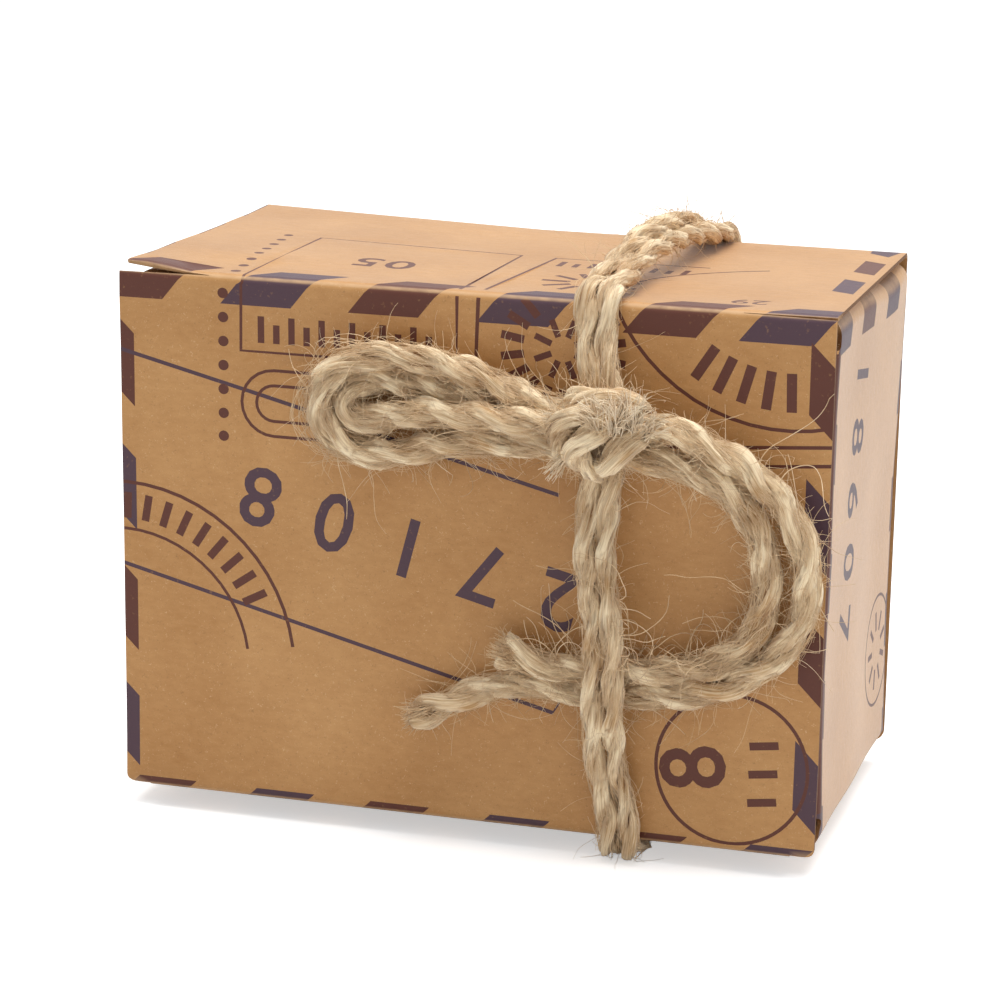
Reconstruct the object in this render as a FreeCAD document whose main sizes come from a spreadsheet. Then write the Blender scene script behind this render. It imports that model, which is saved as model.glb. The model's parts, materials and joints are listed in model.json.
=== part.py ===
import FreeCAD, Part
import math
import os

import Sketcher

# A small folding carton of kraft card, closed at both ends by tucked end panels and
# tied round with two strands of jute twine in a half bow. Millimetres. +Z is up, the
# front panel faces -Y and the end panels face -X and +X. The origin lies below the middle
# of the carton and its band, level with the underside of the twine that passes below.
# The band stands off the front panel where it meets the knot and crosses the tails, so
# the carton's own middle lies a little behind the origin.

SIZES = {
    # carton
    "carton_width": 80.0,        # along X, end panel to end panel
    "carton_depth": 45.0,        # along Y, front panel to back panel
    "carton_height": 60.0,       # along Z, bottom panel to top panel
    "board": 0.45,               # thickness of the card
    "fold_radius": 1.0,          # outside radius of the creases
    "end_fold_radius": 2.7,      # outside radius of the soft fold below each end panel
    "end_fold_gap": 0.2,         # beside that fold, to the long creases
    "shoulder_radius": 2.3,      # outside radius where an end panel turns in under the top
    "tuck_length": 14.0,         # flat length of the flap tucked under the top panel
    "tuck_gap": 0.15,            # between that flap and the top panel
    "ear_length": 13.0,          # side ears of an end panel, folded into the carton
    "ear_gap": 0.8,              # between an ear and the front or back panel
    "ear_relief": 1.2,           # left free above and below each ear
    "slit_length": 10.0,         # slits at both ends of the front-to-top crease
    "slit_gape": 0.4,
    "glue_flap_height": 12.0,    # flap glued inside the back panel, along its foot
    "glue_flap_inset": 16.0,     # from each end of the carton, clear of the ears
    # twine
    "twine_diameter": 2.4,
    "strand_pitch": 2.6,         # between the two strands of the band
    "knot_width": 12.6,
    "knot_thickness": 8.4,
    "knot_height": 9.4,
    "knot_gap": 0.2,             # between the knot and the front panel
    "knot_offset": 16.4,         # sideways from the middle of the carton
    "knot_level": 46.6,          # knot's centre above the bottom panel
    "band_front_top": 15.5,      # sideways place of the band at each edge it goes round
    "band_back_top": 17.4,
    "band_back_foot": 18.0,
    "band_front_foot": 19.3,
    "band_over_tails": 17.6,
    "crossing_drop": 26.5,       # below the knot, where the band passes over the tails
    "crossing_lift": 4.5,        # of the band's centre off the front panel there
}

# Routes of the free stretches: (sideways, out of or into the front, up) from the knot.
TAIL_LONG = [
    (1.0, -0.6, 0.6), (6.5, -0.4, 1.6), (10.3, 0.2, -0.2), (14.9, 0.8, -2.4),
    (18.9, 1.2, -5.8), (21.7, 1.4, -9.9), (22.4, 1.6, -14.9), (21.6, 1.9, -20.2),
    (18.4, 2.2, -24.3), (13.3, 2.6, -27.6), (7.5, 3.0, -29.1), (1.2, 3.05, -29.6),
    (-4.3, 3.05, -29.5), (-10.2, 2.9, -29.3), (-14.3, 2.7, -30.6), (-21.5, 2.2, -34.3),
]
TAIL_SHORT = [
    (0.8, 0.4, -2.0), (6.5, 0.4, -2.6), (10.4, 0.6, -3.7), (14.6, 0.8, -6.0),
    (17.2, 1.0, -9.7), (18.0, 1.2, -14.1), (17.7, 1.5, -18.7), (15.6, 1.9, -22.6),
    (11.4, 2.4, -25.5), (6.2, 2.9, -26.6), (1.2, 3.05, -26.9), (-3.6, 2.3, -26.9),
    (-6.7, 2.0, -27.0), (-11.4, 1.6, -25.2),
]
BOW_OUTER = [
    (-2.0, 0.7, 1.7), (-7.9, 1.5, 2.2), (-11.8, 1.7, 3.8), (-17.7, 1.9, 5.7),
    (-24.1, 1.9, 6.4), (-29.3, 1.6, 5.6), (-32.5, 1.5, 2.4), (-32.3, 1.6, -1.8),
    (-29.0, 1.8, -4.8), (-23.6, 1.7, -4.6), (-18.0, 1.3, -2.8), (-12.4, 0.8, -1.9),
    (-7.1, 0.2, -1.8), (-1.9, -0.6, -1.5),
]
BOW_INNER = [
    (-2.4, 2.0, -0.2), (-8.1, 2.9, -0.6), (-12.1, 2.95, 1.2), (-18.0, 3.0, 2.5),
    (-23.9, 3.0, 3.3), (-27.2, 3.0, 3.4), (-29.4, 2.8, 2.4), (-29.7, 2.5, 0.0),
    (-27.6, 2.1, -1.2), (-23.2, 1.7, 0.0), (-18.0, 0.8, 0.6), (-11.2, -0.1, 0.6),
    (-6.2, -1.0, 0.8), (-1.7, -1.6, 1.0),
]
ARC_SHARE = 0.45                 # of the shorter run that a free bend takes up


def size_sheet(doc):
    """The spreadsheet that holds every driving dimension."""
    sheet = doc.addObject("Spreadsheet::Sheet", "sizes")
    for row, (alias, value) in enumerate(SIZES.items(), start=1):
        sheet.set("A%d" % row, alias)
        sheet.set("B%d" % row, str(value))
        sheet.setAlias("B%d" % row, alias)
    doc.recompute()
    return sheet


def plane_sketch(body, name, role, offset=None):
    """A sketch on one of the body's own origin planes, moved along the plane's normal."""
    sketch = body.newObject("Sketcher::SketchObject", name)
    plane = [f for f in body.Origin.OriginFeatures if f.Role == role][0]
    sketch.AttachmentSupport = [(plane, "")]
    sketch.MapMode = "FlatFace"
    if offset:
        sketch.setExpression(".AttachmentOffset.Base.z", offset)
    return sketch


def outline(sketch, corners):
    """A closed outline of straight lines. Each corner is (x, y), both as expressions."""
    rough = [FreeCAD.Vector(*(float(sketch.evalExpression(c)) for c in corner), 0)
             for corner in corners]
    first = sketch.GeometryCount
    count = len(corners)
    for i in range(count):
        sketch.addGeometry(Part.LineSegment(rough[i], rough[(i + 1) % count]))
    for i in range(count):
        this, following = first + i, first + (i + 1) % count
        sketch.addConstraint(Sketcher.Constraint("Coincident", this, 2, following, 1))
        for kind, expression, value in (("DistanceX", corners[i][0], rough[i].x),
                                        ("DistanceY", corners[i][1], rough[i].y)):
            made = sketch.addConstraint(Sketcher.Constraint(kind, -1, 1, this, 1, value))
            sketch.setExpression("Constraints[%d]" % made, expression)


def rectangle(sketch, x_low, x_high, y_low, y_high):
    outline(sketch, [(x_low, y_low), (x_high, y_low), (x_high, y_high), (x_low, y_high)])


def pad(body, name, sketch, length, midplane=False, reverse=False):
    feature = body.newObject("PartDesign::Pad", name)
    feature.Profile = sketch
    feature.setExpression("Length", length)
    feature.Midplane = midplane
    feature.Reversed = reverse
    body.Document.recompute()
    return feature


def pocket(body, name, sketch, length, midplane=False, reverse=False):
    """A cut, refused if it takes nothing away."""
    before = body.Shape.Volume
    feature = body.newObject("PartDesign::Pocket", name)
    feature.Profile = sketch
    feature.setExpression("Length", length)
    feature.Midplane = midplane
    feature.Reversed = reverse
    body.Document.recompute()
    if body.Shape.Volume >= before:
        raise RuntimeError(name + " cuts nothing")
    return feature


def round_edges(body, name, radius, wanted):
    """Fillet the tip's edges whose straight ends pass the test."""
    tip = body.Tip
    names = []
    for i, edge in enumerate(tip.Shape.Edges, start=1):
        ends = [v.Point for v in edge.Vertexes]
        if len(ends) == 2 and wanted(ends[0], ends[1]):
            names.append("Edge%d" % i)
    feature = body.newObject("PartDesign::Fillet", name)
    feature.Base = (tip, names)
    feature.setExpression("Radius", radius)
    body.Document.recompute()
    return feature


def same(a, b):
    return abs(a - b) < 1e-6


def carton(doc, sheet):
    """The folded blank: a glued tube of four panels, and an end panel hinged on each end."""
    body = doc.addObject("PartDesign::Body", "carton")
    body.Label = "carton"
    half_width = sheet.carton_width / 2
    # outside form, with the four long creases and the two soft end folds
    sketch = plane_sketch(body, "tube_outside", "YZ_Plane")
    rectangle(sketch, "-sizes.carton_depth / 2", "sizes.carton_depth / 2",
              "0 * sizes.board", "1 * sizes.carton_height")
    pad(body, "tube_block", sketch, "sizes.carton_width", midplane=True)
    round_edges(body, "long_creases", "sizes.fold_radius",
                lambda a, b: same(abs(a.x - b.x), sheet.carton_width))
    round_edges(body, "end_fold_corners", "sizes.end_fold_radius",
                lambda a, b: same(a.z, 0) and same(b.z, 0)
                and same(abs(a.x), half_width) and same(a.x, b.x))
    # the space inside the tube
    sketch = plane_sketch(body, "tube_inside", "YZ_Plane")
    rectangle(sketch, "sizes.board - sizes.carton_depth / 2",
              "sizes.carton_depth / 2 - sizes.board",
              "1 * sizes.board", "sizes.carton_height - sizes.board")
    pocket(body, "tube_space", sketch, "sizes.carton_width", midplane=True)
    inside_y = sheet.carton_depth / 2 - sheet.board
    round_edges(body, "inner_creases", "sizes.fold_radius - sizes.board",
                lambda a, b: same(abs(a.y), inside_y) and same(a.y, b.y) and same(a.z, b.z)
                and (same(a.z, sheet.board) or same(a.z, sheet.carton_height - sheet.board)))
    fold_reliefs(body)
    parts = [end_fold(body), end_panel(body), shoulder(body), tuck(body)]
    parts += [ear(body, "front", "-"), ear(body, "back", "")]
    mirror = body.newObject("PartDesign::Mirrored", "other_end")
    mirror.Originals = parts
    mirror.MirrorPlane = (plane_of(body, "YZ_Plane"), [""])
    body.Tip = mirror
    doc.recompute()
    ear_creases(body, sheet)
    glue_flap(body)
    slits(body)
    body.Placement.Base = FreeCAD.Vector(0, 0, sheet.twine_diameter)
    return body


def plane_of(body, role):
    return [f for f in body.Origin.OriginFeatures if f.Role == role][0]


def quarter_bend(body, name, centre_x, centre_z, radius, turn, width):
    """A quarter turn of card about an axis along Y, turn being its start and end angle."""
    sketch = plane_sketch(body, name + "_section", "XZ_Plane")
    x, z, outer, board = (float(sketch.evalExpression(e))
                          for e in (centre_x, centre_z, radius, "1 * sizes.board"))
    centre = FreeCAD.Vector(x, z, 0)
    start, end = (math.radians(a) for a in turn)
    for size in (outer, outer - board):
        circle = Part.Circle(centre, FreeCAD.Vector(0, 0, 1), size)
        sketch.addGeometry(Part.ArcOfCircle(circle, start, end))
    for angle in (start, end):
        out = FreeCAD.Vector(math.cos(angle), math.sin(angle), 0)
        sketch.addGeometry(Part.LineSegment(centre + out * (outer - board), centre + out * outer))
    add = sketch.addConstraint
    add(Sketcher.Constraint("Coincident", 0, 3, 1, 3))
    for line, end_point in ((2, 1), (3, 2)):
        add(Sketcher.Constraint("Coincident", line, 1, 1, end_point))
        add(Sketcher.Constraint("Coincident", line, 2, 0, end_point))
    upright, level = (2, 3) if turn[0] % 180 else (3, 2)
    add(Sketcher.Constraint("Vertical", upright))
    add(Sketcher.Constraint("Horizontal", level))
    add(Sketcher.Constraint("PointOnObject", 0, 3, upright))
    add(Sketcher.Constraint("PointOnObject", 0, 3, level))
    for constraint, expression in (
            (Sketcher.Constraint("DistanceX", -1, 1, 0, 3, x), centre_x),
            (Sketcher.Constraint("DistanceY", -1, 1, 0, 3, z), centre_z),
            (Sketcher.Constraint("Radius", 0, outer), radius),
            (Sketcher.Constraint("Radius", 1, outer - board), radius + " - sizes.board")):
        sketch.setExpression("Constraints[%d]" % add(constraint), expression)
    return pad(body, name, sketch, width, midplane=True)


EAR_FACE = "(sizes.carton_depth / 2 - sizes.board - sizes.ear_gap)"
PANEL_WIDTH = "2 * (%s - sizes.fold_radius)" % EAR_FACE
TUCK_LEVEL = "(sizes.carton_height - sizes.board - sizes.tuck_gap)"
SHOULDER_X = "(sizes.carton_width / 2 - sizes.shoulder_radius)"
SHOULDER_Z = "(%s - sizes.shoulder_radius)" % TUCK_LEVEL


def fold_reliefs(body):
    """Clear the tube's foot beyond both soft folds, where only the folds go on."""
    sketch = plane_sketch(body, "fold_relief_outlines", "XY_Plane")
    side = "(sizes.carton_depth / 2 - sizes.board)"
    near = "(sizes.carton_width / 2 - sizes.end_fold_radius)"
    far = "sizes.carton_width / 2"
    rectangle(sketch, near, far, "-" + side, side)
    rectangle(sketch, "-" + far, "-" + near, "-" + side, side)
    pocket(body, "fold_reliefs", sketch, "sizes.fold_radius", reverse=True)


def end_fold(body):
    """The soft fold from the bottom panel up into the end panel."""
    return quarter_bend(body, "end_fold", "sizes.carton_width / 2 - sizes.end_fold_radius",
                        "1 * sizes.end_fold_radius", "sizes.end_fold_radius", (270, 360),
                        "sizes.carton_depth - 2 * (sizes.fold_radius + sizes.end_fold_gap)")


def end_panel(body):
    sketch = plane_sketch(body, "end_panel_section", "XZ_Plane")
    rectangle(sketch, "sizes.carton_width / 2 - sizes.board", "sizes.carton_width / 2",
              "1 * sizes.end_fold_radius", SHOULDER_Z)
    return pad(body, "end_panel", sketch, PANEL_WIDTH, midplane=True)


def shoulder(body):
    return quarter_bend(body, "shoulder", SHOULDER_X, SHOULDER_Z,
                        "sizes.shoulder_radius", (0, 90), PANEL_WIDTH)


def tuck(body):
    """The flap that lies under the top panel."""
    sketch = plane_sketch(body, "tuck_section", "XZ_Plane")
    rectangle(sketch, SHOULDER_X + " - sizes.tuck_length", SHOULDER_X,
              TUCK_LEVEL + " - sizes.board", TUCK_LEVEL)
    return pad(body, "tuck", sketch, PANEL_WIDTH, midplane=True)


def ear(body, side, sign):
    """A side ear: an L-shaped strip folded back along the front or back panel."""
    low = "(sizes.end_fold_radius + sizes.ear_relief)"
    sketch = plane_sketch(body, side + "_ear_section", "XY_Plane", low)
    face = "%s%s" % (sign, EAR_FACE)
    inner = "%s(%s - sizes.board)" % (sign, EAR_FACE)
    root = "%s(%s - sizes.fold_radius)" % (sign, EAR_FACE)
    front_x = "sizes.carton_width / 2"
    back_x = "sizes.carton_width / 2 - sizes.board"
    bend_x = "sizes.carton_width / 2 - sizes.fold_radius"
    tip_x = bend_x + " - sizes.ear_length"
    outline(sketch, [(front_x, root), (front_x, face), (tip_x, face),
                     (tip_x, inner), (back_x, inner), (back_x, root)])
    return pad(body, side + "_ear", sketch, "%s - sizes.ear_relief - %s" % (SHOULDER_Z, low))


def ear_creases(body, sheet):
    """Round the folds between the end panels and their ears, outside and inside."""
    ear_face = sheet.carton_depth / 2 - sheet.board - sheet.ear_gap
    for name, depth, radius in (("ear_creases", 0, "sizes.fold_radius"),
                                ("inner_ear_creases", sheet.board,
                                 "sizes.fold_radius - sizes.board")):
        x, y = sheet.carton_width / 2 - depth, ear_face - depth
        round_edges(body, name, radius,
                    lambda a, b: all(same(abs(p.x), x) and same(abs(p.y), y) for p in (a, b)))


def glue_flap(body):
    """The flap that closes the tube, glued to the inside of the back panel."""
    sketch = plane_sketch(body, "glue_flap_outline", "XZ_Plane",
                          "sizes.board - sizes.carton_depth / 2")
    reach = "(sizes.carton_width / 2 - sizes.glue_flap_inset)"
    rectangle(sketch, "-" + reach, reach, "1 * sizes.board",
              "sizes.board + sizes.glue_flap_height")
    pad(body, "glue_flap", sketch, "sizes.board")


def slits(body):
    """Slits that free the top panel from the front one at both ends of their crease."""
    sketch = plane_sketch(body, "slit_outlines", "XY_Plane", "sizes.carton_height")
    edge = "sizes.board - sizes.carton_depth / 2"
    far = "sizes.carton_width / 2"
    near = "sizes.carton_width / 2 - sizes.slit_length"
    rectangle(sketch, near, far, edge, edge + " + sizes.slit_gape")
    rectangle(sketch, "-" + far, "-(%s)" % near, edge, edge + " + sizes.slit_gape")
    pocket(body, "slits", sketch, "2 * sizes.board")


def knot_centre(sheet):
    out = sheet.carton_depth / 2 + sheet.knot_gap + sheet.knot_thickness / 2
    return FreeCAD.Vector(sheet.knot_offset, -out, sheet.twine_diameter + sheet.knot_level)


def knot(doc, sheet):
    """The knot's plain outer form, an upright egg against the front panel."""
    egg = doc.addObject("Part::Ellipsoid", "knot")
    egg.Label = "knot"
    egg.setExpression("Radius1", "sizes.knot_height / 2")
    egg.setExpression("Radius2", "sizes.knot_width / 2")
    egg.setExpression("Radius3", "sizes.knot_thickness / 2")
    egg.Placement.Base = knot_centre(sheet)
    doc.recompute()
    return egg


def bend(before, point, after, radius=None):
    """The tangent arc at one point of a route: its ends, its middle and its radius."""
    back, ahead = before - point, after - point
    shorter = min(back.Length, ahead.Length)
    back.normalize()
    ahead.normalize()
    turn = math.pi - back.getAngle(ahead)
    if radius is None:
        radius = ARC_SHARE * shorter / math.tan(turn / 2)
    reach = radius * math.tan(turn / 2)
    inward = (back + ahead).normalize()
    middle = point + inward * (radius / math.cos(turn / 2) - radius)
    return point + back * reach, middle, point + ahead * reach, radius


def tube(name, points, diameter, edge_radius=None):
    """A round tube along straight runs and tangent arcs, checked against its length.

    The arcs are as large as their runs allow, or of edge_radius at the points that it lists.
    """
    edge_radius = edge_radius or {}
    edges, radii, here = [], [], points[0]
    for i in range(1, len(points) - 1):
        start, middle, end, radius = bend(points[i - 1], points[i], points[i + 1],
                                          edge_radius.get(i))
        edges += [Part.LineSegment(here, start).toShape(), Part.Arc(start, middle, end).toShape()]
        radii.append("%.1f" % radius)
        here = end
    edges.append(Part.LineSegment(here, points[-1]).toShape())
    path = Part.Wire(edges)
    section = Part.Circle(points[0], points[1] - points[0], diameter / 2).toShape()
    solid = path.makePipe(Part.Face(Part.Wire([section])))
    swept = math.pi * diameter ** 2 / 4 * path.Length
    if abs(solid.Volume / swept - 1) > 0.002:
        raise RuntimeError("%s: volume %.1f, expected %.1f" % (name, solid.Volume, swept))
    print("%s: %.0f mm along its centre, bend radii %s mm"
          % (name, path.Length, ", ".join(radii)))
    return solid


def twine(doc, name, points, sheet, egg, edge_radius=None):
    """One stretch of twine, ending face to face on the knot."""
    stretch = doc.addObject("Part::Feature", name)
    stretch.Label = name
    whole = tube(name, points, sheet.twine_diameter, edge_radius)
    stretch.Shape = whole.cut(egg.Shape).Solids[0]
    return stretch


def band_points(sheet, aside):
    """The route of one strand round the carton, from the knot up, over and back to it."""
    centre = knot_centre(sheet)
    lift = sheet.twine_diameter / 2
    front = -sheet.carton_depth / 2 - lift
    top = sheet.twine_diameter + sheet.carton_height + lift
    foot = sheet.twine_diameter - lift
    inside_knot = sheet.knot_height / 4
    route = [
        (sheet.knot_offset, centre.y, centre.z + inside_knot),
        (sheet.band_front_top, front, top),
        (sheet.band_back_top, -front, top),
        (sheet.band_back_foot, -front, foot),
        (sheet.band_front_foot, front, foot),
        (sheet.band_over_tails, -sheet.carton_depth / 2 - sheet.crossing_lift,
         centre.z - sheet.crossing_drop),
        (sheet.knot_offset, centre.y, centre.z - inside_knot),
    ]
    return [FreeCAD.Vector(x + aside, y, z) for x, y, z in route]


def centre_on_origin(parts, banded):
    """Move everything so that the banded carton's footprint is centred on the origin."""
    extents = [part.Shape.optimalBoundingBox(False, False) for part in banded]
    middle = FreeCAD.Vector(
        (min(box.XMin for box in extents) + max(box.XMax for box in extents)) / 2,
        (min(box.YMin for box in extents) + max(box.YMax for box in extents)) / 2, 0)
    for part in parts:
        part.Placement.Base = part.Placement.Base - middle


def check(doc, parts):
    """Nothing is written unless every object is sound."""
    for item in doc.Objects:
        if "Invalid" in item.State or "Error" in item.State:
            raise RuntimeError("%s: %s" % (item.Name, item.State))
    for part in parts:
        shape = part.Shape
        if shape.isNull() or not shape.isValid() or len(shape.Solids) != 1:
            raise RuntimeError("%s: not one sound solid" % part.Label)


def build():
    doc = FreeCAD.newDocument("tied_carton")
    sheet = size_sheet(doc)
    egg = knot(doc, sheet)
    parts = [carton(doc, sheet), egg]
    # pulled tight, each strand goes round the creases at their own radius
    edge = sheet.fold_radius + sheet.twine_diameter / 2
    corners = {corner: edge for corner in (1, 2, 3, 4)}
    for name, side in (("band_strand_left", -1), ("band_strand_right", 1)):
        points = band_points(sheet, side * sheet.strand_pitch / 2)
        parts.append(twine(doc, name, points, sheet, egg, corners))
    for name, route in (("tail_long", TAIL_LONG), ("tail_short", TAIL_SHORT),
                        ("bow_loop_outer", BOW_OUTER), ("bow_loop_inner", BOW_INNER)):
        points = [knot_centre(sheet) + FreeCAD.Vector(*offset) for offset in route]
        parts.append(twine(doc, name, points, sheet, egg))
    centre_on_origin(parts, [parts[0]] + parts[2:4])
    doc.recompute()
    check(doc, parts)
    os.makedirs("parts", exist_ok=True)
    for part in parts:
        part.Shape.exportStep(os.path.join("parts", part.Label + ".step"))
        print("%s: %.0f mm3" % (part.Label, part.Shape.Volume))


build()
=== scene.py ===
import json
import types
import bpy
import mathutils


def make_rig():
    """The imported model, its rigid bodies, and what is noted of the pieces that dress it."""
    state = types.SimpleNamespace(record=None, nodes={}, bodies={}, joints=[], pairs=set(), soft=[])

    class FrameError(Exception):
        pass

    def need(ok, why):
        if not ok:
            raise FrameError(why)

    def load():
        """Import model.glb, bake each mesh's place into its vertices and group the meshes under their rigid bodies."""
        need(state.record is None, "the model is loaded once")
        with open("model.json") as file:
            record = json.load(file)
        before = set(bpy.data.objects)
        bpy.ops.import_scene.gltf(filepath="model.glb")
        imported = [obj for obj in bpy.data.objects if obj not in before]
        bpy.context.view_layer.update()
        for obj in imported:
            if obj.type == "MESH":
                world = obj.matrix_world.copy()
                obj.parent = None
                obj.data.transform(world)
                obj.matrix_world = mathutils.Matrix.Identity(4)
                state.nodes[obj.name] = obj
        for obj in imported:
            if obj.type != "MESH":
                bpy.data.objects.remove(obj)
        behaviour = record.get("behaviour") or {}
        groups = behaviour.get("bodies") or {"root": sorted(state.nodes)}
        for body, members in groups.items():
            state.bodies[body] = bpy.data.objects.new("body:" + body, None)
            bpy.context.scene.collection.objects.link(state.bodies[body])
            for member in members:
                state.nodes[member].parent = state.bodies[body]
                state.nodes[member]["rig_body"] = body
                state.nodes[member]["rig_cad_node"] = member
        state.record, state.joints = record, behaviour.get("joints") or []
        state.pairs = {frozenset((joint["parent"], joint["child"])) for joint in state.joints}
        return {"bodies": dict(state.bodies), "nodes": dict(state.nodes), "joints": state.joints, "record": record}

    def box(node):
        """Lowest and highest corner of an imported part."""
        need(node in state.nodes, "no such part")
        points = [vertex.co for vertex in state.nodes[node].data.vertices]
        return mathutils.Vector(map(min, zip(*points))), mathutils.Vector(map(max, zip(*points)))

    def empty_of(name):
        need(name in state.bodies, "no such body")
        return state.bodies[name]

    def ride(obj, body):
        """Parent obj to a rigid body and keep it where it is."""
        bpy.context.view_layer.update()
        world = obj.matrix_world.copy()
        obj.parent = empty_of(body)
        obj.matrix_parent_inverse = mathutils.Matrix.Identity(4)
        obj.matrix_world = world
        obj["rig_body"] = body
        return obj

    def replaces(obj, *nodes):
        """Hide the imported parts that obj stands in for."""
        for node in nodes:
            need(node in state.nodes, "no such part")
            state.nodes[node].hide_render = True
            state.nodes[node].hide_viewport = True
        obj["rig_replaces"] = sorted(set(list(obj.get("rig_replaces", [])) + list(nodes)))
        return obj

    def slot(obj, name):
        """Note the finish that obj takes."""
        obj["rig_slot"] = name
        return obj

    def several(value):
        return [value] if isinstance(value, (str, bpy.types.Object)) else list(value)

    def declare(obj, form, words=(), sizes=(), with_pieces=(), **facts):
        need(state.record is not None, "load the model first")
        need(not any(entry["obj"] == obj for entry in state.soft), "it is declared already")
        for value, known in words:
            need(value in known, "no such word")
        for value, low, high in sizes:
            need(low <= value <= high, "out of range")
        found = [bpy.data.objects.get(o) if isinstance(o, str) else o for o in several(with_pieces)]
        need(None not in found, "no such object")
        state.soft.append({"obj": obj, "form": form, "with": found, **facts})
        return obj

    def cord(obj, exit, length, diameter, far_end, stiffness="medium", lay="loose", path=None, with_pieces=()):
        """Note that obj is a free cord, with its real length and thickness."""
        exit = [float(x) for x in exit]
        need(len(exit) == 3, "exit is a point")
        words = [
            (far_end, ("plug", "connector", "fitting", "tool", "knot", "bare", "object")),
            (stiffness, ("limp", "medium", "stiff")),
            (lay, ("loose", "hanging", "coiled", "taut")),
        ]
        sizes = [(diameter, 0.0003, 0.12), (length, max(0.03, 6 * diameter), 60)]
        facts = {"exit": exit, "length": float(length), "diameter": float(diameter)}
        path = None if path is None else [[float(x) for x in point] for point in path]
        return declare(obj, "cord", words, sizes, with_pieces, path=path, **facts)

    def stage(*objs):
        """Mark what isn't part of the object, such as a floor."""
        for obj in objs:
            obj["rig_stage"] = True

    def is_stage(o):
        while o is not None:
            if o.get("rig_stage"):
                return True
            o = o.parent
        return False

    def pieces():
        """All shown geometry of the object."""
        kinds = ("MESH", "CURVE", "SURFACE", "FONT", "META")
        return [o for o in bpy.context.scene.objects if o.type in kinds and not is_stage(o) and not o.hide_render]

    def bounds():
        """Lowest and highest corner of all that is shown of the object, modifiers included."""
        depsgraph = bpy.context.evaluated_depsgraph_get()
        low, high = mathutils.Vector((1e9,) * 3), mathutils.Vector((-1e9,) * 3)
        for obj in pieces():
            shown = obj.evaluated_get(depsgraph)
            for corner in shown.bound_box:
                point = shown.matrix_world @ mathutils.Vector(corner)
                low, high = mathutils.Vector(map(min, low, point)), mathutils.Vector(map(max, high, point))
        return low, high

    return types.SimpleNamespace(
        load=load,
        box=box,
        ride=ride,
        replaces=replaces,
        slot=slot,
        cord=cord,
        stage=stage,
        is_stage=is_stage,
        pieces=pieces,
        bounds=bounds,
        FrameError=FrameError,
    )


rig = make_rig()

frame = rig.load()
cad_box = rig.bounds()

import json
import math
import random

import bpy
from mathutils import Matrix, Vector, noise
from mathutils.geometry import delaunay_2d_cdt

# ---------------------------------------------------------------------------------------
# Carton tube. One blank of kraft card, die cut, creased and printed in two inks, wrapped
# round as bottom, front, top and back panels. A flap along the bottom panel is glued up
# inside the back panel.
MM = 0.001
BOARD = 0.45                     # thickness of the card
CREASE = 1.0                     # outside radius of the long creases
END_FOLD = 2.7                   # outside radius of the soft fold below each end panel
CORNER = 1.3                     # of the front and back panels, at their feet
SLIT = 10.0                      # cut at both ends of the front-to-top crease
SLIT_GAPE = 0.4                  # at its mouth
SLIT_POINT = 0.04                # half its width at its inner end
GLUE_FLAP = 12.0
GLUE_FLAP_INSET = 16.0

low, high = (Vector(corner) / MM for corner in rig.box("carton"))
WIDTH, DEPTH, HEIGHT = high - low
HALF = WIDTH / 2
FRONT, BACK, FOOT, TOP = low.y, high.y, low.z, high.z


def linear(colour):
    """Turn an sRGB hex colour into the linear colour that the shader works in."""
    parts = [int(colour[i:i + 2], 16) / 255 for i in (1, 3, 5)]
    return [c / 12.92 if c <= 0.04045 else ((c + 0.055) / 1.055) ** 2.4 for c in parts] + [1]


def fill(owner, made, inputs):
    """Fill a node's inputs with numbers, or link them to other nodes' sockets."""
    for name, value in inputs.items():
        if isinstance(value, bpy.types.NodeSocket):
            owner.node_tree.links.new(value, made.inputs[name])
        else:
            made.inputs[name].default_value = value


def node(owner, kind, inputs=None, **settings):
    """Add a node, with its settings and links, to a material or to the world."""
    made = owner.node_tree.nodes.new("ShaderNode" + kind)
    for name, value in settings.items():
        setattr(made, name, value)
    fill(owner, made, inputs or {})
    return made


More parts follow.
